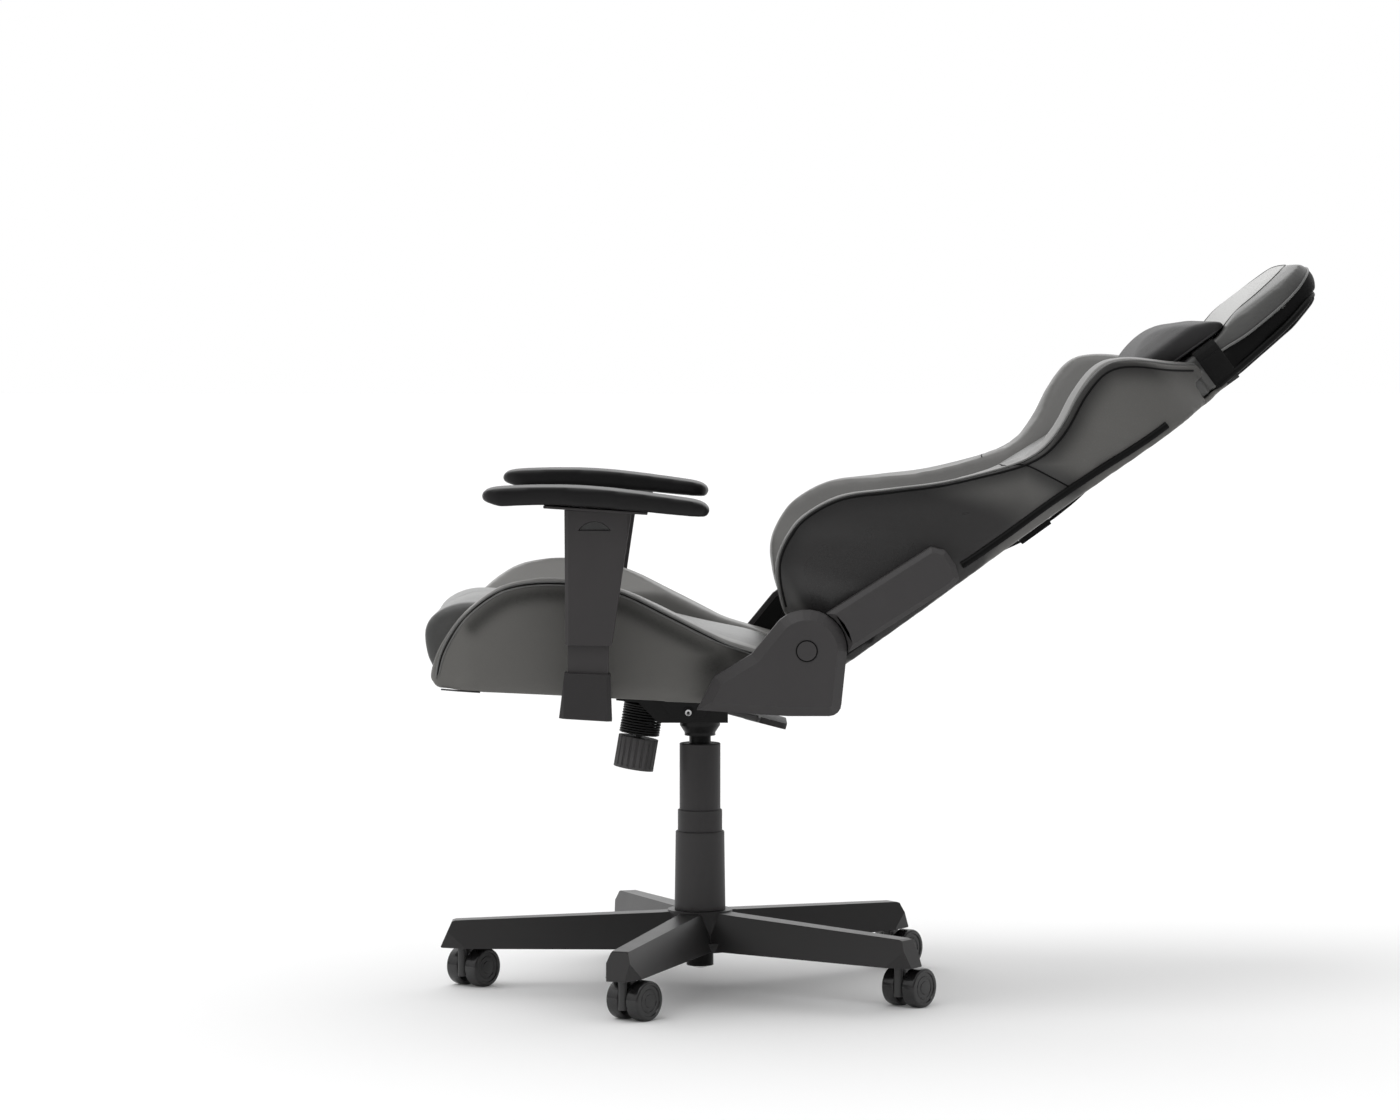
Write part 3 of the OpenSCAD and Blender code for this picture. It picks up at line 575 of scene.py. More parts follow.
def leather(name, colour, gloss, grain=1.0, creases=0.35, seam_shade=0.55, second=None,
            border=None, second_gloss=0.0, wrinkles=None, specular=0.5, polished=None):
    """Soft artificial leather: pebbled grain, long faint creases, rougher in seams, and painted
    shade beside them.

    Where border(paint) is 1 it has the second colour; wrinkles(paint) is 1 where it is gathered,
    and polished(paint) where it is worn smooth and shiny."""
    paint = Paint(name, specular_ior_level=specular, coat_roughness=0.32)
    spot = paint.place()
    pebbles = paint.cells(spot, 620)
    domes = (pebbles * 10).at_most(1.0)
    pores = paint.noise(spot, 1500, 2)
    folds = paint.noise(paint.place((1, 0.35, 1), (BACK_ANGLE, 0, 0)), 38, 4, 0.6)
    clouds = paint.noise(spot, 6, 3)
    seam = paint.attribute("seam")
    base = paint.mix(clouds, shade(colour, 0.9), shade(colour, 1.1))
    rough = gloss + clouds * 0.10 + seam * 0.18 - domes * 0.05
    if second is not None:
        share = border(paint)
        base = paint.mix(share, base, paint.mix(clouds, shade(second, 0.92), shade(second, 1.08)))
        rough = rough + share * second_gloss
    # Painted shade: darker by the seam attribute beside the seams and in the dents.
    base = paint.mix(seam * seam_shade, base, shade(colour, 0.12))
    base = paint.mix((pebbles * 14).at_most(1.0) * 0.25, base, shade(colour, 1.25))
    normal = paint.bump(folds, 0.0016, creases)
    if wrinkles is not None:
        along_fold = paint.place((1, 0.45, 1.9), (BACK_ANGLE - 0.9, 0, 0))
        gathers = paint.noise(along_fold, 8, 0, 0.4)
        normal = paint.bump(gathers * wrinkles(paint), 0.02, 0.55, normal)
    normal = paint.bump(domes * 0.7 + pores * 0.3, 0.00012 * grain, 0.55, normal)
    if polished is not None:
        paint.set(coat_weight=polished(paint) * 0.5)
    return paint.set(base_color=base, roughness=rough, normal=normal)


def plastic(name, colour, gloss, texture=1.0, grain=1600, specular=0.22):
    """Moulded plastic with a fine spark-eroded texture and slight flow marks."""
    paint = Paint(name, specular_ior_level=specular)
    spot = paint.place()
    fine = paint.noise(spot, grain, 2, 0.7)
    flow = paint.noise(paint.place((1, 1, 0.4)), 14, 3)
    base = paint.mix(flow, shade(colour, 0.9), shade(colour, 1.12))
    base = paint.mix(fine * 0.3, base, shade(colour, 1.35))
    normal = paint.bump(fine, 0.00012 * texture, 0.5)
    return paint.set(base_color=base, roughness=gloss + flow * 0.08 + fine * 0.06, normal=normal)


def metal(name, colour, gloss, metallic=1.0, brush=(1, 1, 1), specular=0.5):
    """Bare or painted steel with fine lines or orange peel."""
    paint = Paint(name, metallic=metallic, specular_ior_level=specular)
    spot = paint.place(brush)
    lines = paint.noise(spot, 420, 3, 0.6)
    marks = paint.noise(spot, 30, 4)
    base = paint.mix(marks, shade(colour, 0.82), shade(colour, 1.1))
    normal = paint.bump(lines, 0.00006, 0.4)
    return paint.set(base_color=base, roughness=gloss + marks * 0.12, normal=normal)


def woven(name, colour, gloss):
    """Woven strap: ribs along it and weft across it, from the strap's own UV map."""
    paint = Paint(name, specular_ior_level=0.15, sheen_weight=0.1)
    along, across, _ = paint.split(paint.node("ShaderNodeTexCoord", output="UV"))

    def ribs(value, pitch, shift=0.0):
        """A wave that repeats every pitch."""
        phase = value * (2 * math.pi / pitch) + shift
        return paint.node("ShaderNodeMath", {"operation": "SINE"}, {0: phase})

    weave = ribs(across, 0.0022) * ribs(along, 0.0018, across * 1400) * 0.5 + 0.5
    fuzz = paint.noise(paint.place(), 900, 2)
    base = paint.mix(weave * 0.7 + fuzz * 0.3, shade(colour, 0.55), shade(colour, 1.5))
    return paint.set(base_color=base, roughness=gloss + weave * 0.15,
                     normal=paint.bump(weave, 0.0004, 0.7))


def matt_white(name, colour, gloss):
    """Flat studio paint with hardly visible clouds."""
    paint = Paint(name, specular_ior_level=0.2)
    spot = paint.place()
    clouds = paint.noise(spot, 1.5, 3)
    base = paint.mix(clouds, shade(colour, 0.995), shade(colour, 1.0))
    return paint.set(base_color=base, roughness=gloss + clouds * 0.05)


FINISHES = {}


def finish_of(name):
    """The material of one of the chair's finishes, made when it is first asked for."""
    if name in FINISHES:
        return FINISHES[name]
    soft = bpy.context.scene.chair_upholstery
    hard = bpy.context.scene.chair_hardware

    def wing_inside(paint):
        """1 on the inner side and the edge of a wing."""
        across, up, forward = on_back_axes(paint)
        half_width = 0.243 - (up - 0.55).at_least(0.0) * 1.6
        inside = (half_width - (across * across) ** 0.5).step(-0.003, 0.003)
        return inside * (forward + 0.5 - up * 0.9).step(-0.02, 0.0)

    def upper_wing(paint):
        """1 on the paler panels: the panel above the seam that crosses the wing, and the inner
        side, whose paleness is painted sheen.
        """
        _, up, forward = on_back_axes(paint)
        return (up + forward * 0.45 - 0.372).step(-0.002, 0.002).at_least(wing_inside(paint))

    def inner_side(paint):
        """1 on the side of a seat bolster that faces the sitter."""
        across = paint.split(paint.node("ShaderNodeTexCoord", output="Object"))[0]
        return (0.222 - (across * across) ** 0.5).step(-0.004, 0.004)

    def wing_foot(paint):
        """1 at the foot of the wing, where its cover is gathered."""
        _, up, forward = on_back_axes(paint)
        return (0.24 - up - forward * 0.3).step(0.0, 0.14)

    def head_front(paint):
        """1 on the headrest's front panel, where its paler colour is painted sheen."""
        across, up, forward = on_back_axes(paint)
        width = (across * across + ((up - 0.68).at_least(0.0) * 1.16) ** 2) ** 0.5
        inward = 0.128 - width
        # A soft fringe carries the painted sheen onto the roll beside the panel.
        edge = inward.step(-0.001, 0.001) * 0.8 + inward.step(-0.03, 0.0) * 0.2
        return (up - 0.60).step(-0.01, 0.01) * edge * forward.step(0, 0.01)

    recipes = {
        "side_leather": (leather, soft.side_colour, 0.5, dict(
            creases=0.12, seam_shade=0.9, specular=0.15)),
        # The bolsters' inner sides get a paler colour, painted sheen, and strong painted shade
        # beside the seams.
        "bolster_leather": (leather, soft.side_colour, 0.5, dict(
            creases=0.12, seam_shade=0.9, second=soft.inner_sheen_colour, border=inner_side,
            polished=inner_side, specular=0.15)),
        # The upper panel is a paler leather of its own; on the wing's inner side the paler colour
        # is painted sheen.
        "wing_leather": (leather, soft.wing_colour, 0.28, dict(
            creases=0.25, seam_shade=0.85, second=soft.side_colour, border=upper_wing,
            second_gloss=0.22, wrinkles=wing_foot, polished=wing_inside, specular=0.34)),
        # The headrest's front gets a pale colour: painted sheen.
        "pan_leather": (leather, soft.pan_colour, 0.30, dict(
            creases=0.3, seam_shade=0.6, second=soft.head_sheen_colour, border=head_front)),
        "rear_leather": (leather, soft.seam_colour, 0.45, dict(specular=0.12)),
        "pillow_leather": (leather, soft.pillow_colour, 0.46, dict(creases=0.5, specular=0.25)),
        "piping_leather": (leather, soft.piping_colour, 0.34, dict(grain=0.4)),
        "dark_welt": (leather, soft.seam_colour, 0.5, dict(grain=0.4, specular=0.1)),
        "pad_foam": (plastic, soft.pad_colour, 0.34, dict(grain=700)),
        "trim_plastic": (plastic, hard.trim_colour, 0.44, {}),
        "armrest_plastic": (plastic, hard.armrest_colour, 0.42, {}),
        "boot_plastic": (plastic, hard.boot_colour, 0.42, {}),
        "base_nylon": (plastic, hard.base_colour, 0.30, dict(texture=0.8, specular=0.3)),
        "fork_nylon": (plastic, hard.fork_colour, 0.40, {}),
        "wheel_nylon": (plastic, hard.wheel_colour, 0.16, dict(texture=0.4, specular=0.6)),
        "cover_plastic": (plastic, hard.cover_colour, 0.45, {}),
        "knob_plastic": (plastic, hard.knob_colour, 0.5, dict(texture=1.4)),
        "black_steel": (metal, hard.steel_colour, 0.34, dict(metallic=0.0, specular=0.2)),
        "zinc": (metal, hard.zinc_colour, 0.3, {}),
        "chrome": (metal, hard.chrome_colour, 0.06, dict(brush=(1, 1, 0.1))),
        "webbing": (woven, soft.webbing_colour, 0.75, {}),
        "floor_paint": (matt_white, bpy.context.scene.chair_stage.floor_colour, 0.9, {}),
    }
    kind, colour, gloss, settings = recipes[name]
    FINISHES[name] = kind(name, colour, gloss, **settings)
    return FINISHES[name]


def dress(piece, finish, body=None, stands_for=()):
    """Gives a piece its finish, the body it rides on and the solids it stands for."""
    piece.data.materials.clear()
    piece.data.materials.append(finish_of(finish))
    if body is not None:
        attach(piece, body)
    if stands_for:
        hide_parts(*stands_for)
    return piece


def soften(node, finish, width, flatten=True):
    """Keeps a solid as it is and rounds its sharp edges with live modifiers.

    A turned ring isn't flattened: joining the faces of its rim could close its bore."""
    solid = NODES[node]
    solid.data.materials.clear()
    solid.data.materials.append(finish_of(finish))
    if width:
        weld = solid.modifiers.new("Weld", "WELD")
        weld.merge_threshold = WELD
        if flatten:
            flat = solid.modifiers.new("Flat", "DECIMATE")
            flat.decimate_type = "DISSOLVE"
            flat.angle_limit = math.radians(0.6)
        bevel = solid.modifiers.new("Bevel", "BEVEL")
        bevel.width, bevel.segments = width, 2
        bevel.limit_method, bevel.angle_limit = "ANGLE", math.radians(28)
        bevel.harden_normals = True


# ---- What a user may change --------------------------------------------------------------------

def size_property(name, text, default, low=0.0, high=1.0):
    return bpy.props.FloatProperty(name=name, description=text, default=default,
                                   min=low, max=high, unit="LENGTH", precision=4)


def colour_property(name, text, default):
    return bpy.props.FloatVectorProperty(name=name, description=text, default=default, size=3,
                                         min=0, max=1, subtype="COLOR")


def level_property(name, text, default):
    return bpy.props.FloatProperty(name=name, description=text, default=default, min=0, max=10)


class ChairUpholstery(bpy.types.PropertyGroup):
    """Sizes and colours of the leather, seams, pillows and straps."""
    voxel: size_property("Remesh size", "Size of the cloth's facets before it is blown up",
                         0.006, 0.003, 0.02)
    rounding: bpy.props.IntProperty(name="Rounding", default=6, min=0, max=30,
                                    description="Smoothing rounds at a cushion's edges")
    pressure: level_property("Pressure", "Air pressure that fills the cushions", 4.0)
    piping: size_property("Piping radius", "Radius of the piping at the seams",
                          0.0013, 0.001, 0.004)
    # How far the painted shade beside a seam reaches.
    seam_reach: size_property("Seam shade", "How far the leather is darker beside a seam",
                              0.014, 0.002, 0.04)
    side_colour: colour_property("Side panels", "Leather of the side panels",
                                 (0.124, 0.1215, 0.115))
    # A paler colour that is painted sheen on the bolsters' inner sides.
    inner_sheen_colour: colour_property("Inner sides", "Leather of the seat bolsters' inner sides",
                                  (0.19, 0.187, 0.18))
    wing_colour: colour_property("Lower wings", "Leather of the lower wings", (0.030, 0.029, 0.029))
    pan_colour: colour_property("Pan", "Leather of the seat, the back and the headrest",
                                (0.085, 0.085, 0.083))
    # A pale colour that is painted sheen on the headrest's front.
    head_sheen_colour: colour_property("Headrest front", "Leather of the headrest's front panel",
                                 (0.42, 0.42, 0.41))
    pillow_colour: colour_property("Pillows", "Leather of the pillows", (0.028, 0.0272, 0.028))
    piping_colour: colour_property("Piping", "Leather of the piping", (0.12, 0.12, 0.118))
    seam_colour: colour_property("Welts", "Dark welts and seams", (0.003, 0.003, 0.003))
    webbing_colour: colour_property("Webbing", "Straps of the pillows", (0.006, 0.006, 0.006))
    pad_colour: colour_property("Arm pads", "Skinned foam of the arm pads", (0.006, 0.0057, 0.006))


class ChairHardware(bpy.types.PropertyGroup):
    """Sizes and colours of the plastic and steel parts."""
    edge: size_property("Edge radius", "Rounding of the moulded edges", 0.0012, 0.0, 0.004)
    trim_colour: colour_property("Covers", "Hinge covers, arm covers and levers",
                                 (0.048, 0.0457, 0.0464))
    knob_colour: colour_property("Knob", "Tension knob", (0.085, 0.0825, 0.083))
    armrest_colour: colour_property("Armrests", "Armrest sleeves and posts",
                                    (0.044, 0.0413, 0.042))
    boot_colour: colour_property("Boots", "Covers at the foot of the armrests",
                                 (0.029, 0.0275, 0.028))
    base_colour: colour_property("Base", "Five-star base", (0.024, 0.0230, 0.0232))
    fork_colour: colour_property("Caster forks", "Bodies of the casters", (0.060, 0.060, 0.060))
    # The armrest buttons use this dark colour as painted shade of their recess.
    wheel_colour: colour_property("Wheels", "Caster wheels and armrest buttons",
                                  (0.011, 0.0107, 0.011))
    cover_colour: colour_property("Column covers", "Telescopic covers", (0.058, 0.0557, 0.0566))
    steel_colour: colour_property("Black steel", "Painted steel", (0.006, 0.006, 0.006))
    zinc_colour: colour_property("Zinc", "Bolts and the pin's turned faces", (0.62, 0.62, 0.62))
    chrome_colour: colour_property("Chrome", "Piston rod", (0.7, 0.7, 0.71))


class ChairStage(bpy.types.PropertyGroup):
    """The studio: floor, lights and camera."""
    floor_colour: colour_property("Floor", "Colour of the floor", (0.9, 0.9, 0.9))
    sky_level: level_property("Surround", "Least brightness of the surround", 0.12)
    sky_above: level_property("Ceiling", "Extra brightness of the surround overhead", 0.73)
    sky_behind: level_property("Backdrop", "Extra brightness of the surround behind the chair", 1.0)
    top_light: level_property("Top light", "Strength of the overhead softbox", 0.74)
    front_light: level_property("Front light", "Strength of the softbox before the chair", 0.35)
    camera_distance: size_property("Camera distance", "From the chair's middle plane", 6.0, 1, 30)
    camera_height: size_property("Camera height", "Height of the lens", 0.884, 0, 5)
    camera_tilt: level_property("Camera tilt", "Degrees that the lens looks down", 3.1389)
    lens: bpy.props.FloatProperty(name="Lens", description="Focal length in millimetres",
                                  default=119.57, min=20, max=300)


# ---- Operators ---------------------------------------------------------------------------------

class CHAIR_OT_studio(bpy.types.Operator):
    """Floor, softboxes, white surround and the camera beside the chair"""
    bl_idname = "chair.studio"
    bl_label = "Studio"

    def sun(self, name, location, strength, angle):
        """A distant softbox seen under an angle, shining from location at the origin."""
        light = add(bpy.ops.object.light_add, name, type="SUN", location=location)
        light.data.energy, light.data.angle = strength, math.radians(angle)
        light.rotation_euler = Vector(location).to_track_quat("Z", "Y").to_euler()

    def surround(self, stage):
        """White all round to the eye; as a light it is bright above and behind the chair."""
        sky = Sky("surround")
        x, _, z = sky.split(sky.node("ShaderNodeTexCoord", output="Generated"))
        light = z.step(0.0, 0.9) * stage.sky_above + (0.0 - x).step(-0.1, 0.9) * stage.sky_behind
        light = light + stage.sky_level
        seen = sky.node("ShaderNodeLightPath", output="Is Camera Ray")
        sky.set(strength=light + seen * (1.0 - light))
        sky.shader.inputs["Color"].default_value = (1, 1, 1, 1)
        return sky.material

    def execute(self, context):
        stage = context.scene.chair_stage
        floor = add(bpy.ops.mesh.primitive_plane_add, "floor", size=80)
        place(floor)
        floor.data.materials.append(finish_of("floor_paint"))
        context.scene.world = self.surround(stage)
        context.scene.view_settings.view_transform = "Standard"
        self.sun("top_light", (0.25, -0.35, 1.0), stage.top_light, 36)
        self.sun("front_light", (0.5, -1.0, 0.45), stage.front_light, 60)
        camera = add(bpy.ops.object.camera_add, "camera",
                     location=(stage.camera_distance, 0, stage.camera_height))
        camera.rotation_euler = (math.radians(90 - stage.camera_tilt), 0, math.radians(90))
        camera.data.lens, camera.data.sensor_width = stage.lens, 36
        camera.data.clip_end = 100
        context.scene.camera = camera
        return {"FINISHED"}


class CHAIR_OT_kept_solids(bpy.types.Operator):
    """Finishes and rounded edges for the solids whose shape is right as it is"""
    bl_idname = "chair.kept_solids"
    bl_label = "Kept Solids"

    covers = ["guide_bush", "cover_lower", "cover_middle", "cover_upper"]
    rings = [*covers, "gas_outer_tube", "gas_pressure_tube"]

    def pair(self, stem):
        """The names of a left and a right solid."""
        return [stem + "_left", stem + "_right"]

    def execute(self, context):
        edge = context.scene.chair_hardware.edge
        groups = (
            ("base_nylon", edge, ["star_base"]),
            ("black_steel", 0.0003, ["gas_outer_tube", "gas_pressure_tube", "tilt_housing",
                                     "seat_plate", "tilt_pivot_pin"]),
            ("cover_plastic", 0.0004, self.covers),
            ("chrome", 0.0, ["gas_piston_rod"]),
            ("zinc", 0.0003, ["mounting_bolts"]),
            ("knob_plastic", 0.0005, ["tension_knob"]),
            ("trim_plastic", 0.0006, ["height_lever", "recline_lever"]),
            ("black_steel", 0.0004, ["seat_frame", "back_frame", *self.pair("recliner")]),
            ("armrest_plastic", 0.0004, self.pair("armrest_post")),
            ("trim_plastic", edge, self.pair("hinge_cover") + self.pair("back_arm_cover")),
            ("armrest_plastic", edge * 0.7, self.pair("armrest_sleeve")),
            ("boot_plastic", edge * 0.7, self.pair("armrest_boot")),
            # The buttons' dark finish is painted shade: it stands in for the shadow in their
            # recess.
            ("wheel_nylon", 0.0003, self.pair("armrest_button")),
            ("fork_nylon", 0.0005, [f"caster_{i}_fork" for i in range(1, 6)]),
        )
        for finish, width, nodes in groups:
            for node in nodes:
                soften(node, finish, width, flatten=node not in self.rings)
        return {"FINISHED"}


class CHAIR_OT_caster_wheels(bpy.types.Operator):
    """Ten moulded wheels with a rounded tread, a dished face, raised rings and a hub cap"""
    bl_idname = "chair.caster_wheels"
    bl_label = "Caster Wheels"

    width = 0.0195
    # from the middle of the axle to the middle of a wheel
    stand_off = 0.01575
    # inset, then move along the axis, for each ring of the wheel's face from the rim inwards
    face = ((0.0028, 0.0), (0.0006, -0.0012), (0.0040, 0.0), (0.0005, 0.0007), (0.0011, 0.0),
            (0.0005, -0.0007), (0.0045, 0.0002), (0.0005, 0.0008), (0.0050, 0.0003))

    def wheel(self, radius):
        """A wheel on the Z axis, its outer face up."""
        piece = add(bpy.ops.mesh.primitive_cylinder_add, "wheel", vertices=56, radius=radius,
                    depth=self.width)
        place(piece)

        def on_a_rim(edge):
            ends = [piece.data.vertices[i].co.z for i in edge.vertices]
            return all(abs(abs(z) - self.width / 2) < 1e-5 for z in ends)
        pick(piece, "EDGE", on_a_rim)
        bpy.ops.mesh.bevel(offset=0.0026, segments=4, affect="EDGES")
        done()
        pick(piece, "FACE", lambda f: f.normal.z > 0.99)
        for inward, up in self.face:
            bpy.ops.mesh.inset(thickness=inward)
            if up:
                bpy.ops.transform.translate(value=(0, 0, up))
        done()
        only(piece)
        bpy.ops.object.shade_smooth_by_angle(angle=math.radians(35))
        return piece

    def execute(self, context):
        low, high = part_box("caster_1_wheel_left")
        model = self.wheel((high.z - low.z) / 2)
        for i in range(1, 6):
            for side, way in (("left", 1), ("right", -1)):
                joint = JOINTS[f"caster_{i}_{side}_spin"]
                axle = way * Vector(joint["axis"])
                turn = axle.to_track_quat("Z", "Y").to_matrix().to_4x4()
                twin = bpy.data.objects.new(f"wheel_{i}_{side}", model.data.copy())
                context.scene.collection.objects.link(twin)
                middle = Vector(joint["pos_m"]) + axle * self.stand_off
                twin.data.transform(Matrix.Translation(middle) @ turn)
                dress(twin, "wheel_nylon", joint["child"],
                      [f"caster_{i}_wheel_{side}"])
        bpy.data.objects.remove(model)
        return {"FINISHED"}


class CHAIR_OT_tension_spring(bpy.types.Operator):
    """Steel coil of the tilt mechanism with closed ends, between the knob and the housing"""
    bl_idname = "chair.tension_spring"
    bl_label = "Tension Spring"

    turns, steps = 12, 28
    radius, wire = 0.0246, 0.00165
    foot, rise = 0.0045, 0.0395

    def execute(self, context):
        joint = JOINTS["tension_knob_turn"]
        lean = Vector(joint["axis"]).to_track_quat("Z", "Y").to_matrix().to_4x4()
        up = Matrix.Translation(joint["pos_m"]) @ lean
        line = []
        for share in np.linspace(0, 1, self.turns * self.steps + 1):
            # the end coils lie closer than the working ones
            height = self.foot + self.rise * (share - 0.02 * math.sin(2 * math.pi * share))
            angle = 2 * math.pi * self.turns * share
            line.append(up @ Vector((self.radius * math.cos(angle),
                                     self.radius * math.sin(angle), height)))
        spring = tube("coil_spring", line, self.wire)
        dress(spring, "black_steel", "column", ["tension_spring"])
        up @ Vector((0, 0, self.foot + self.rise))
        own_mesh(spring)
        return {"FINISHED"}


class CHAIR_OT_tilt_pin(bpy.types.Operator):
    """Turned faces with a centre hole at the ends of the tilt pivot pin"""
    bl_idname = "chair.tilt_pin"
    bl_label = "Tilt Pin"

    def execute(self, context):
        low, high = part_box("tilt_pivot_pin")
        middle = (low + high) / 2
        piece = add(bpy.ops.mesh.primitive_cylinder_add, "pin_face_l", vertices=32,
                    radius=0.0042, depth=0.0012)
        place(piece)
        pick(piece, "FACE", lambda f: f.normal.z > 0.99)
        for inward, down in ((0.0008, 0.0), (0.0010, 0.0003), (0.0006, 0.0), (0.0003, 0.0014)):
            bpy.ops.mesh.inset(thickness=inward)
            bpy.ops.transform.translate(value=(0, 0, -down))
        done()
        finish_modifier(piece, "BEVEL", width=0.0002, segments=2, limit_method="ANGLE")
        bpy.ops.object.shade_smooth_by_angle(angle=math.radians(40))
        end = Matrix.Translation((high.x + 0.0004, middle.y, middle.z))
        place(piece, end @ Matrix.Rotation(math.pi / 2, 4, "Y"))
        for face in (piece, mirrored(piece, "pin_face_r")):
            dress(face, "zinc", "column")
        return {"FINISHED"}


class CHAIR_OT_pivot_caps(bpy.types.Operator):
    """A dark ring in the gap round the cap of each hinge cover's pivot: painted shade of the gap"""
    bl_idname = "chair.pivot_caps"
    bl_label = "Pivot Caps"

    radius, width, depth = 0.0127, 0.0009, 0.0012

    def execute(self, context):
        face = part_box("hinge_cover_left")[1].x - self.depth
        _, y, z = RECLINE_PIVOT
        ring = [(face, y + self.radius * math.cos(a), z + self.radius * math.sin(a))
                for a in np.linspace(0, 2 * math.pi, 64, endpoint=False)]
        # The ring's dark finish is painted shade in the gap.
        gap = tube("pivot_cap_gap_l", ring, self.width, closed=True)
        for piece in (gap, mirrored(gap, "pivot_cap_gap_r")):
            dress(piece, "dark_welt", "seat")
        return {"FINISHED"}


class CHAIR_OT_seat(bpy.types.Operator):
    """Seat pan and side bolsters with their piping, seams and cover clips"""
    bl_idname = "chair.seat"
    bl_label = "Seat"

    # in millimetres from the middle plane
    pan_edge, bolster_side, bolster_inside = 164, 249, 166

    def pan(self):
        """The seat pan, its crest settled by use."""
        edges = [in_metres([(x, y, z) for y, z in SEAT_PAN_TOP])
                 for x in (-self.pan_edge, self.pan_edge)]
        front_seam = in_metres([(x, -302, 430) for x in (-160, 160)])

        def upper(points, outward):
            return np.clip(outward[:, 2] * 1.3, 0.15, 1) * (np.abs(outward[:, 0]) < 0.7)

        def settled(points):
            """The crest has sunk a little and pushed the upper front edge forward."""
            _, y, z = points.T
            crest = np.exp(-((y + 0.240) / 0.065) ** 2) * np.clip((z - 0.46) / 0.04, 0, 1)
            corner = np.exp(-((y + 0.335) / 0.028) ** 2 - ((z - 0.478) / 0.034) ** 2)
            return np.stack([0 * y, -0.006 * corner, 0.002 * corner - 0.012 * crest], axis=1)

        pan = stuffed("seat_cushion", "seat_pan", [*edges, front_seam], 0.006, 0.06, free=upper,
                      settled=settled)
        dress(pan, "pan_leather", "seat", ["seat_cushion"])

    def below_top(self, x, distance, first=0):
        """A line on the bolster's side, at a distance under its upper edge."""
        line = offset_line(SEAT_BOLSTER_TOP, distance)[first:]
        return in_metres([(x, y, z) for y, z in line])

    def bolsters(self, sizes):
        """Both bolsters, dented by the hinge covers, with painted shade along their upper edges and
        in the dents.
        """
        seam = in_metres([(self.bolster_side, y, z + 1) for y, z in SEAT_BOLSTER_TOP])
        inner = in_metres([(self.bolster_inside, y, z) for y, z in SEAT_BOLSTER_TOP])

        def outside(points, outward):
            return np.clip(outward[:, 0] * 1.2 - 0.1, 0, 1) * (points[:, 0] > 0.172)

        # The share of the painted shade beside the seams: most on the outer side face.
        def on_side(points, outward):
            return np.clip(outward[:, 0] * 1.8 - 0.5, 0.15, 1)

        # Painted shade in a band about 19 mm under the upper edge, and in the dents by the hinge
        # cover.
        left = stuffed("seat_bolster_left", "seat_bolster_l", [seam, inner], 0.004, 0.04,
                       free=outside, rounding=2, shaded=on_side,
                       dark=[self.below_top(252, 19, 18)], dark_reach=0.0105,
                       dents=[((0.25, 0.022, 0.437), 0.026, 0.007),
                              ((0.25, 0.050, 0.452), 0.022, 0.005)])
        surface = surface_of(left)
        clip = webbing("seat_clip_l",
                       in_metres([(238, -322, 407), (238, -300, 405.2), (238, -273, 403.4)]),
                       (0.005, 0, 0), 0.0014)
        low_piping = self.below_top(250, 6, 2)
        under = self.below_top(self.bolster_side, 3.2, 2)
        trims = [
            (cord("seat_low_piping_l", surface, low_piping, 0.0002, 0.0009), "piping_leather"),
            (cord("seat_piping_l", surface, seam, 0.0008, sizes.piping), "piping_leather"),
            (cord("seat_seam_l", surface, under, 0.0, 0.0008), "dark_welt"),
            (clip, "fork_nylon"),
        ]
        right = mirrored(left, "seat_bolster_r")
        for bolster, side in ((left, "left"), (right, "right")):
            dress(bolster, "bolster_leather", "seat", [f"seat_bolster_{side}"])
        for trim, finish in trims:
            for piece in (trim, mirrored(trim, trim.name[:-1] + "r")):
                dress(piece, finish, "seat")

    def execute(self, context):
        self.pan()
        self.bolsters(context.scene.chair_upholstery)
        return {"FINISHED"}


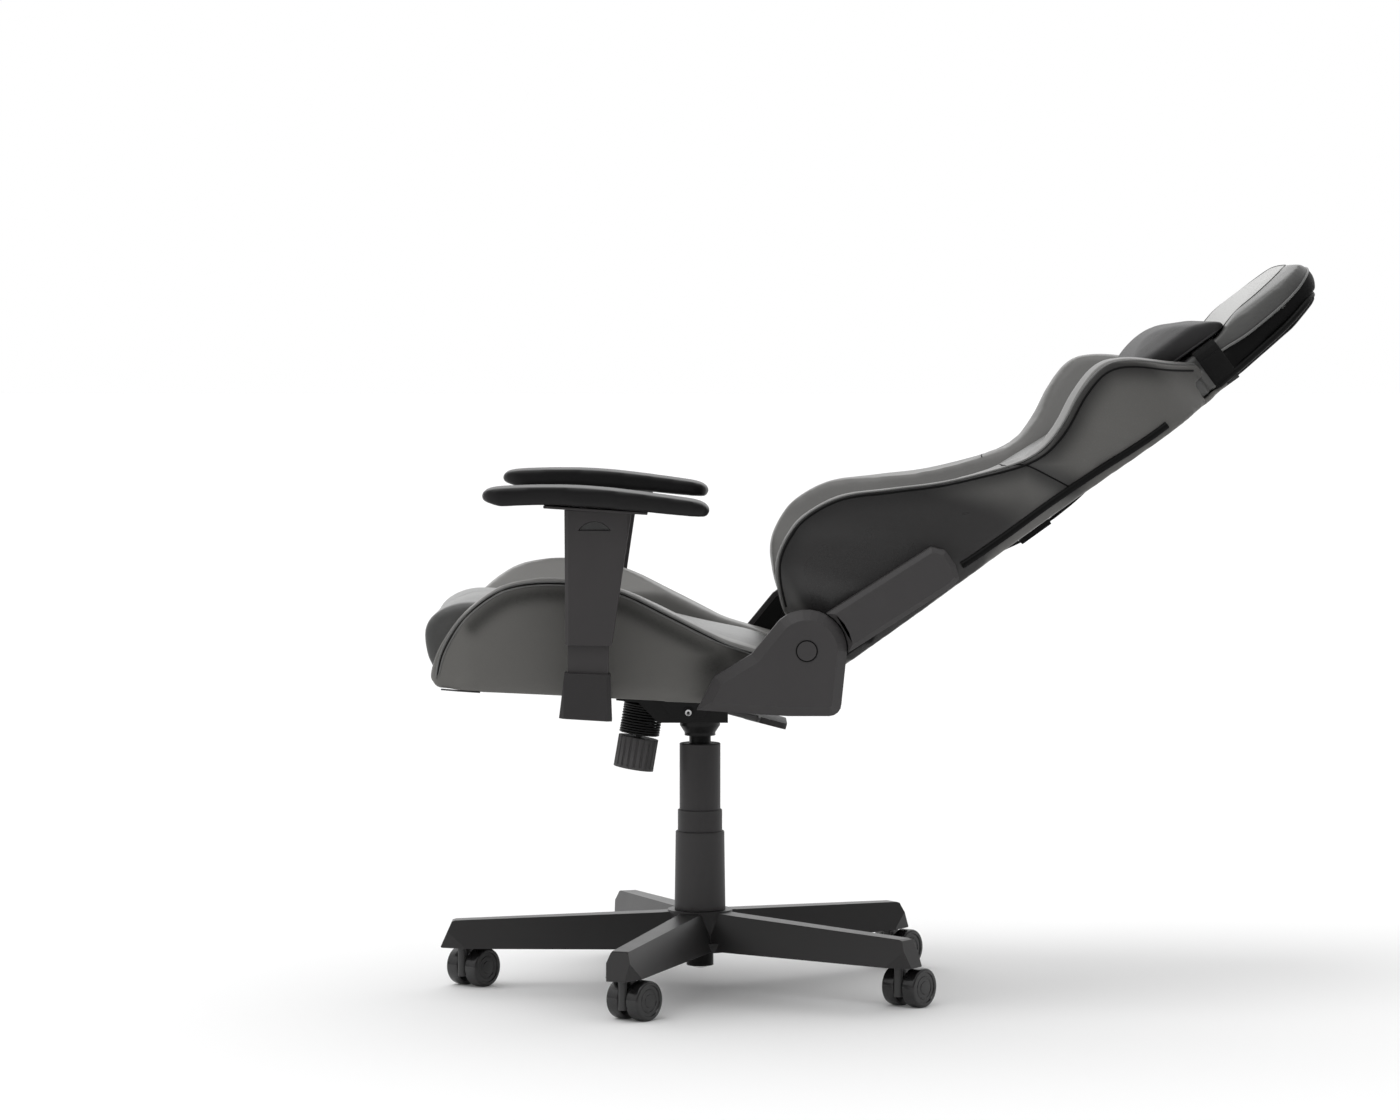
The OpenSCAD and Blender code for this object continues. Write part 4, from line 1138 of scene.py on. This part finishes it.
class CHAIR_OT_backrest(bpy.types.Operator):
    """Back pan with its headrest, side wings, rear cover, piping, welts and seams"""
    bl_idname = "chair.backrest"
    bl_label = "Backrest"

    # seams on the wing's side panel, in millimetres as (up, forward)
    cross_seam = ((338, 46), (348, 34), (357, 22), (370, -4), (382, -28))
    # its run over the edge to the inner side, as (x, up, forward)
    inner_cross = ((238, 337, 46), (222, 334, 44), (205, 331, 42), (188, 329, 40), (170, 327, 38))
    welt = ((217, -27), (300, -29), (420, -31), (523, -33.5))
    # half of the seam round the headrest's front, from its foot to the middle of its crown
    head_side = ((153, 618, -8), (153, 644, -6), (153, 670, -9), (153, 697, -8), (153, 726, -6))
    head_crown = ((148, 751, -3), (136, 771, 1), (120, 783, 6), (92, 790, 9), (50, 793, 11),
                  (0, 794, 12))
    # half of the welt round its rear
    rear_side = ((153.5, 612, -40), (153.5, 640, -37.6), (153.5, 670, -34.8), (153.5, 700, -31.6),
                 (153.5, 726, -28.6))
    rear_crown = ((149, 748, -24), (139, 766, -20.2), (122, 776, -18.4), (96, 778.5, -18),
                  (0, 778.5, -18))
    # boxes that close the pocket behind the neck, in metres as (half width, low, high)
    neck_boxes = ((0.157, 0.566, 0.645), (0.174, 0.566, 0.597), (0.181, 0.560, 0.588))

    def darken_head(self, piece):
        """Gives the part of a piece that lies behind the headrest's piping its dark leather."""
        piece.data.materials.append(finish_of("rear_leather"))
        to_back = BACK.inverted()
        for face in piece.data.polygons:
            _, up, forward = to_back @ face.center
            seam_line = max(0.0, up - 0.735) * 0.26 - 0.0078
            face.material_index = int(up > 0.622 and forward < seam_line)

    def wing_points(self, line, inward=0.0):
        """A line of (up, forward) on the outer side of the left wing."""
        return on_back([(wing_half_width(up) - inward, up, forward) for up, forward in line])

    def wings(self, sizes):
        """Both wings, their upper panels paler than the lower ones."""
        edge = self.wing_points(WING_FRONT, 2)
        # the seam lies further from the edge on the upper panel
        inset = np.interp(WING_FRONT[:, 0], (300, 400), (5, 10))[:, None]
        band_seam = self.wing_points(offset_line(WING_FRONT, inset)[2:-1])
        inner = on_back([(151, up, forward) for up, forward in WING_FRONT[::3]])
        cross = self.wing_points(self.cross_seam)

        def outside(points, outward):
            facing, (across, _, forward) = back_directions(outward), back_places(points)
            side = np.clip(facing[0] * 0.8 + facing[2] + 0.2, 0, 1)
            return side * (across > 0.158) * (forward > -0.036)

        # The share of the painted shade beside the seams: most on the outer side face.
        def on_side(points, outward):
            return np.clip(outward[:, 0] * 1.8 - 0.5, 0.3, 1)

        # Painted shade beside the band seam and the cross seam.
        left = stuffed("back_bolster_left", "wing_l", [edge, cross, inner], 0.005, 0.04,
                       free=outside, rounding=3, shaded=on_side, dark=[band_seam, cross],
                       dark_reach=0.018)
        surface = surface_of(left)
        inner_cross, welt = on_back(self.inner_cross), self.wing_points(self.welt)
        trims = [
            (cord("wing_piping_l", surface, edge, 0.0006, sizes.piping), "piping_leather"),
            (cord("wing_band_seam_l", surface, band_seam, 0.0001, 0.0014), "dark_welt"),
            (cord("wing_inner_seam_l", surface, inner_cross, 0.0, 0.0010, 0.006), "dark_welt"),
            (cord("wing_cross_seam_l", surface, cross, 0.0, 0.0010, 0.006), "dark_welt"),
            (cord("wing_rear_welt_l", surface, welt, 0.0016, 0.0046, 0.01), "dark_welt"),
        ]
        right = mirrored(left, "wing_r")
        for wing, side in ((left, "left"), (right, "right")):
            dress(wing, "wing_leather", "back", [f"back_bolster_{side}"])
        for trim, finish in trims:
            for piece in (trim, mirrored(trim, trim.name[:-1] + "r")):
                dress(piece, finish, "back")

    def neck_filling(self):
        """What closes the pocket between the neck, the wings and the rear cover."""
        fillings = []
        for half_width, low, high in self.neck_boxes:
            filling = add(bpy.ops.mesh.primitive_cube_add, "neck_filling", size=1)
            filling.scale = (2 * half_width, high - low, 0.028)
            place(filling)
            middle = Matrix.Translation((0, (low + high) / 2, -0.0265))
            fillings.append(place(filling, BACK @ middle))
        return joined("neck_filling", fillings)

    def pan(self):
        """The back pan with the headrest, its piping, its front seam and its rear welt."""
        head_seam = on_back(both_halves(smooth_line(self.head_side + self.head_crown)))

        def front(points, outward):
            facing, up = back_directions(outward)[2], back_places(points)[1]
            return np.clip(facing + 0.35, 0, 1) * np.clip((0.63 - up) / 0.04, 0.1, 1)

        pan = stuffed("back_cushion", "back_pan", [head_seam], 0.005, 0.035, free=front,
                      voxel=0.0045, plug=self.neck_filling())
        dress(pan, "pan_leather", "back", ["back_cushion"])
        self.darken_head(pan)
        surface = surface_of(pan)
        piping = cord("head_piping", surface, head_seam, 0.0008, 0.0018)
        dress(piping, "piping_leather", "back")
        half = [(128, up, 40) for up in range(640, 681, 10)]
        half += [(128 * math.cos(a), 680 + 110 * math.sin(a), 40)
                 for a in np.linspace(0.1, math.pi / 2, 12)]
        front_seam = cord("head_front_seam", surface, on_back(both_halves(np.array(half))),
                          0.0, 0.0009)
        dress(front_seam, "dark_welt", "back")
        rear_seam = on_back(both_halves(smooth_line(self.rear_side + self.rear_crown)))
        welt = tube("head_rear_welt", relaxed(even_line(rear_seam, CORD_STEP)), 0.0042)
        dress(welt, "rear_leather", "back")

    def rear_cover(self):
        """The thin cover behind the backrest."""
        edges = [on_back([(x, 8, -46), (x, 555, -46)]) for x in (-202, 202)]

        def rear(points, outward):
            return np.clip(-back_directions(outward)[2], 0, 1)

        shell = stuffed("back_shell", "rear_cover", edges, 0.002, 0.03, tuck=0.0, free=rear,
                        voxel=0.0035, cloth=False)
        dress(shell, "side_leather", "back", ["back_shell"])
        self.darken_head(shell)

    def execute(self, context):
        self.wings(context.scene.chair_upholstery)
        self.pan()
        self.rear_cover()
        return {"FINISHED"}


class CHAIR_OT_pillows(bpy.types.Operator):
    """Neck and lumbar pillows with piping round their edges"""
    bl_idname = "chair.pillows"
    bl_label = "Pillows"

    # half of each rim as (x, up the back), from its foot to its top
    neck_rim = ((0, 522), (60, 522), (88, 524), (118, 532), (138, 546), (148, 563), (148, 610),
                (149, 650), (145, 661), (131, 664), (0, 664))
    lumbar_rim = ((0, 58), (85, 58), (112, 61), (134, 74), (144, 110), (144, 190), (134, 224),
                  (112, 237), (85, 240), (0, 240))

    def pillow(self, node, name, half, forward, swell):
        """A pillow whose rim lies a distance in front of the back pan's zero plane."""
        def free(points, outward):
            return np.clip(back_directions(outward)[2] + 0.55, 0, 1)

        half = smooth_line([(x, up, forward) for x, up in half], 4)
        seam = on_back(np.concatenate([half, (half * (-1, 1, 1))[-2:0:-1]]))
        seam.append(seam[0])
        piece = stuffed(node, name, [seam], swell, 0.05, 0.001, free=free)
        dress(piece, "pillow_leather", "back", [node])
        piping = cord(name + "_piping", surface_of(piece), seam, 0.0004, 0.0014)
        dress(piping, "pillow_leather", "back")

    def execute(self, context):
        self.pillow("neck_pillow", "neck_pillow_cover", self.neck_rim, 16, 0.0015)
        self.pillow("lumbar_pillow", "lumbar_pillow_cover", self.lumbar_rim, 34, 0.004)
        return {"FINISHED"}


class CHAIR_OT_straps(bpy.types.Operator):
    """Elastic band of the neck pillow, and the lumbar pillow's two straps with their buckles"""
    bl_idname = "chair.straps"
    bl_label = "Straps"

    half_width, thickness = 0.016, 0.0018
    # the neck band's loop, in millimetres: half its width, its front, its rear and its corners
    band_side, band_front, band_rear, band_corner = 157, 11.4, -46.8, 14
    band_up = 624
    # a lumbar strap's two runs, in millimetres as (up, forward), and where they run across
    strap_x = 103
    front_run = ((239, 32.4), (300, 24.6), (400, 17.2), (470, 13.6), (500, 12.8), (558, 12),
                 (569, 7), (574, -18), (573, -42), (565, -50), (500, -50.6), (430, -50.6),
                 (382, -56), (347, -58))
    back_run = ((296, -58), (262, -52), (230, -50.6), (130, -50.6), (30, -50.4), (8, -49.5),
                (2.5, -42), (2.5, -12), (3.5, 9.5), (10, 18.6), (60, 30))

    def band_loop(self):
        """The neck band's loop round the headrest, with round corners."""
        corner = self.band_corner
        side = self.band_side - corner
        front, rear = self.band_front - corner, self.band_rear + corner
        ring = []
        for x, forward, start in ((side, front, 0), (-side, front, 90), (-side, rear, 180),
                                  (side, rear, 270)):
            for turn in range(0, 91, 15):
                angle = math.radians(start + turn)
                ring.append((x + corner * math.cos(angle), self.band_up,
                             forward + corner * math.sin(angle)))
        return on_back(ring + ring[:1])

    def strap(self, name, points, spacing, across):
        """A strap along points; across is the direction of its width."""
        path = [Vector(point) for point in even_line(points, spacing)]
        return webbing(name, path, across * self.half_width, self.thickness)

    def execute(self, context):
        up_the_back = BACK.to_3x3() @ Vector((0, 1, 0))
        band = self.strap("neck_band", self.band_loop(), 0.008, up_the_back)
        dress(band, "webbing", "back", ["neck_strap"])
        made = []
        for x in (self.strap_x, -self.strap_x):
            for run in (self.front_run, self.back_run):
                line = on_back([(x, up, forward) for up, forward in smooth_line(run)])
                made.append(self.strap("strap", line, 0.009, Vector((1, 0, 0))))
            made.append(self.buckle(x))
        straps = joined("lumbar_straps", made)
        dress(straps, "webbing", "back", ["lumbar_strap"])
        return {"FINISHED"}

    def buckle(self, x):
        """Side-release buckle: a flat body with a tongue at one end and a shallow recess
        underneath.
        """
        piece = add(bpy.ops.mesh.primitive_cube_add, "buckle", size=1)
        piece.scale = (0.040, 0.045, 0.0075)
        place(piece)
        pick(piece, "FACE", lambda f: f.normal.y > 0.9)
        bpy.ops.mesh.inset(thickness=0.003)
        bpy.ops.mesh.extrude_region_move(TRANSFORM_OT_translate={"value": (0, 0.006, 0)})
        done()
        pick(piece, "FACE", lambda f: f.normal.z < -0.9)
        bpy.ops.mesh.inset(thickness=0.006)
        bpy.ops.transform.translate(value=(0, 0, 0.0015))
        done()
        finish_modifier(piece, "BEVEL", width=0.001, segments=2, limit_method="ANGLE")
        bpy.ops.object.shade_smooth_by_angle(angle=math.radians(40))
        return place(piece, BACK @ Matrix.Translation(Vector((x, 319, -58)) * MM))


class CHAIR_OT_arm_pads(bpy.types.Operator):
    """Soft arm pads with a rounded rim"""
    bl_idname = "chair.arm_pads"
    bl_label = "Arm Pads"

    def execute(self, context):
        low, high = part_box("armrest_pad_left")
        rim = [Vector((x, y, low.z + 0.01)) for x, y in (
            (low.x, low.y), (high.x, low.y), (high.x, high.y), (low.x, high.y), (low.x, low.y))]

        def top(points, outward):
            return np.clip(outward[:, 2] + 0.3, 0, 1)

        left = stuffed("armrest_pad_left", "arm_pad_l", [rim], 0.001, 0.03, 0.0, free=top,
                       voxel=0.0042, cloth=False)
        right = mirrored(left, "arm_pad_r")
        for pad, side in ((left, "left"), (right, "right")):
            dress(pad, "pad_foam", f"armrest_{side}", [f"armrest_pad_{side}"])
        return {"FINISHED"}


OPERATORS = (CHAIR_OT_studio, CHAIR_OT_kept_solids, CHAIR_OT_caster_wheels,
             CHAIR_OT_tension_spring, CHAIR_OT_tilt_pin, CHAIR_OT_pivot_caps, CHAIR_OT_seat,
             CHAIR_OT_backrest, CHAIR_OT_pillows, CHAIR_OT_straps, CHAIR_OT_arm_pads)
SETTINGS = {ChairUpholstery: "chair_upholstery", ChairHardware: "chair_hardware",
            ChairStage: "chair_stage"}


class CHAIR_PT_build(bpy.types.Panel):
    """The chair's build steps and settings"""
    bl_idname = "CHAIR_PT_build"
    bl_label = "Gaming Chair"
    bl_space_type = "VIEW_3D"
    bl_region_type = "UI"
    bl_category = "Chair"

    def draw(self, context):
        for step in OPERATORS:
            self.layout.operator(step.bl_idname)
        for settings in SETTINGS:
            box = self.layout.box()
            box.label(text=settings.__doc__)
            for name in settings.__annotations__:
                box.prop(getattr(context.scene, SETTINGS[settings]), name)


def register():
    for kind in (*SETTINGS, *OPERATORS, CHAIR_PT_build):
        bpy.utils.register_class(kind)
    for settings, name in SETTINGS.items():
        setattr(bpy.types.Scene, name, bpy.props.PointerProperty(type=settings))


def unregister():
    for name in SETTINGS.values():
        delattr(bpy.types.Scene, name)
    for kind in reversed((*SETTINGS, *OPERATORS, CHAIR_PT_build)):
        bpy.utils.unregister_class(kind)


def main():
    register()
    for step in OPERATORS:
        getattr(bpy.ops.chair, step.bl_idname.split(".")[1])()


if __name__ == "__main__":
    main()
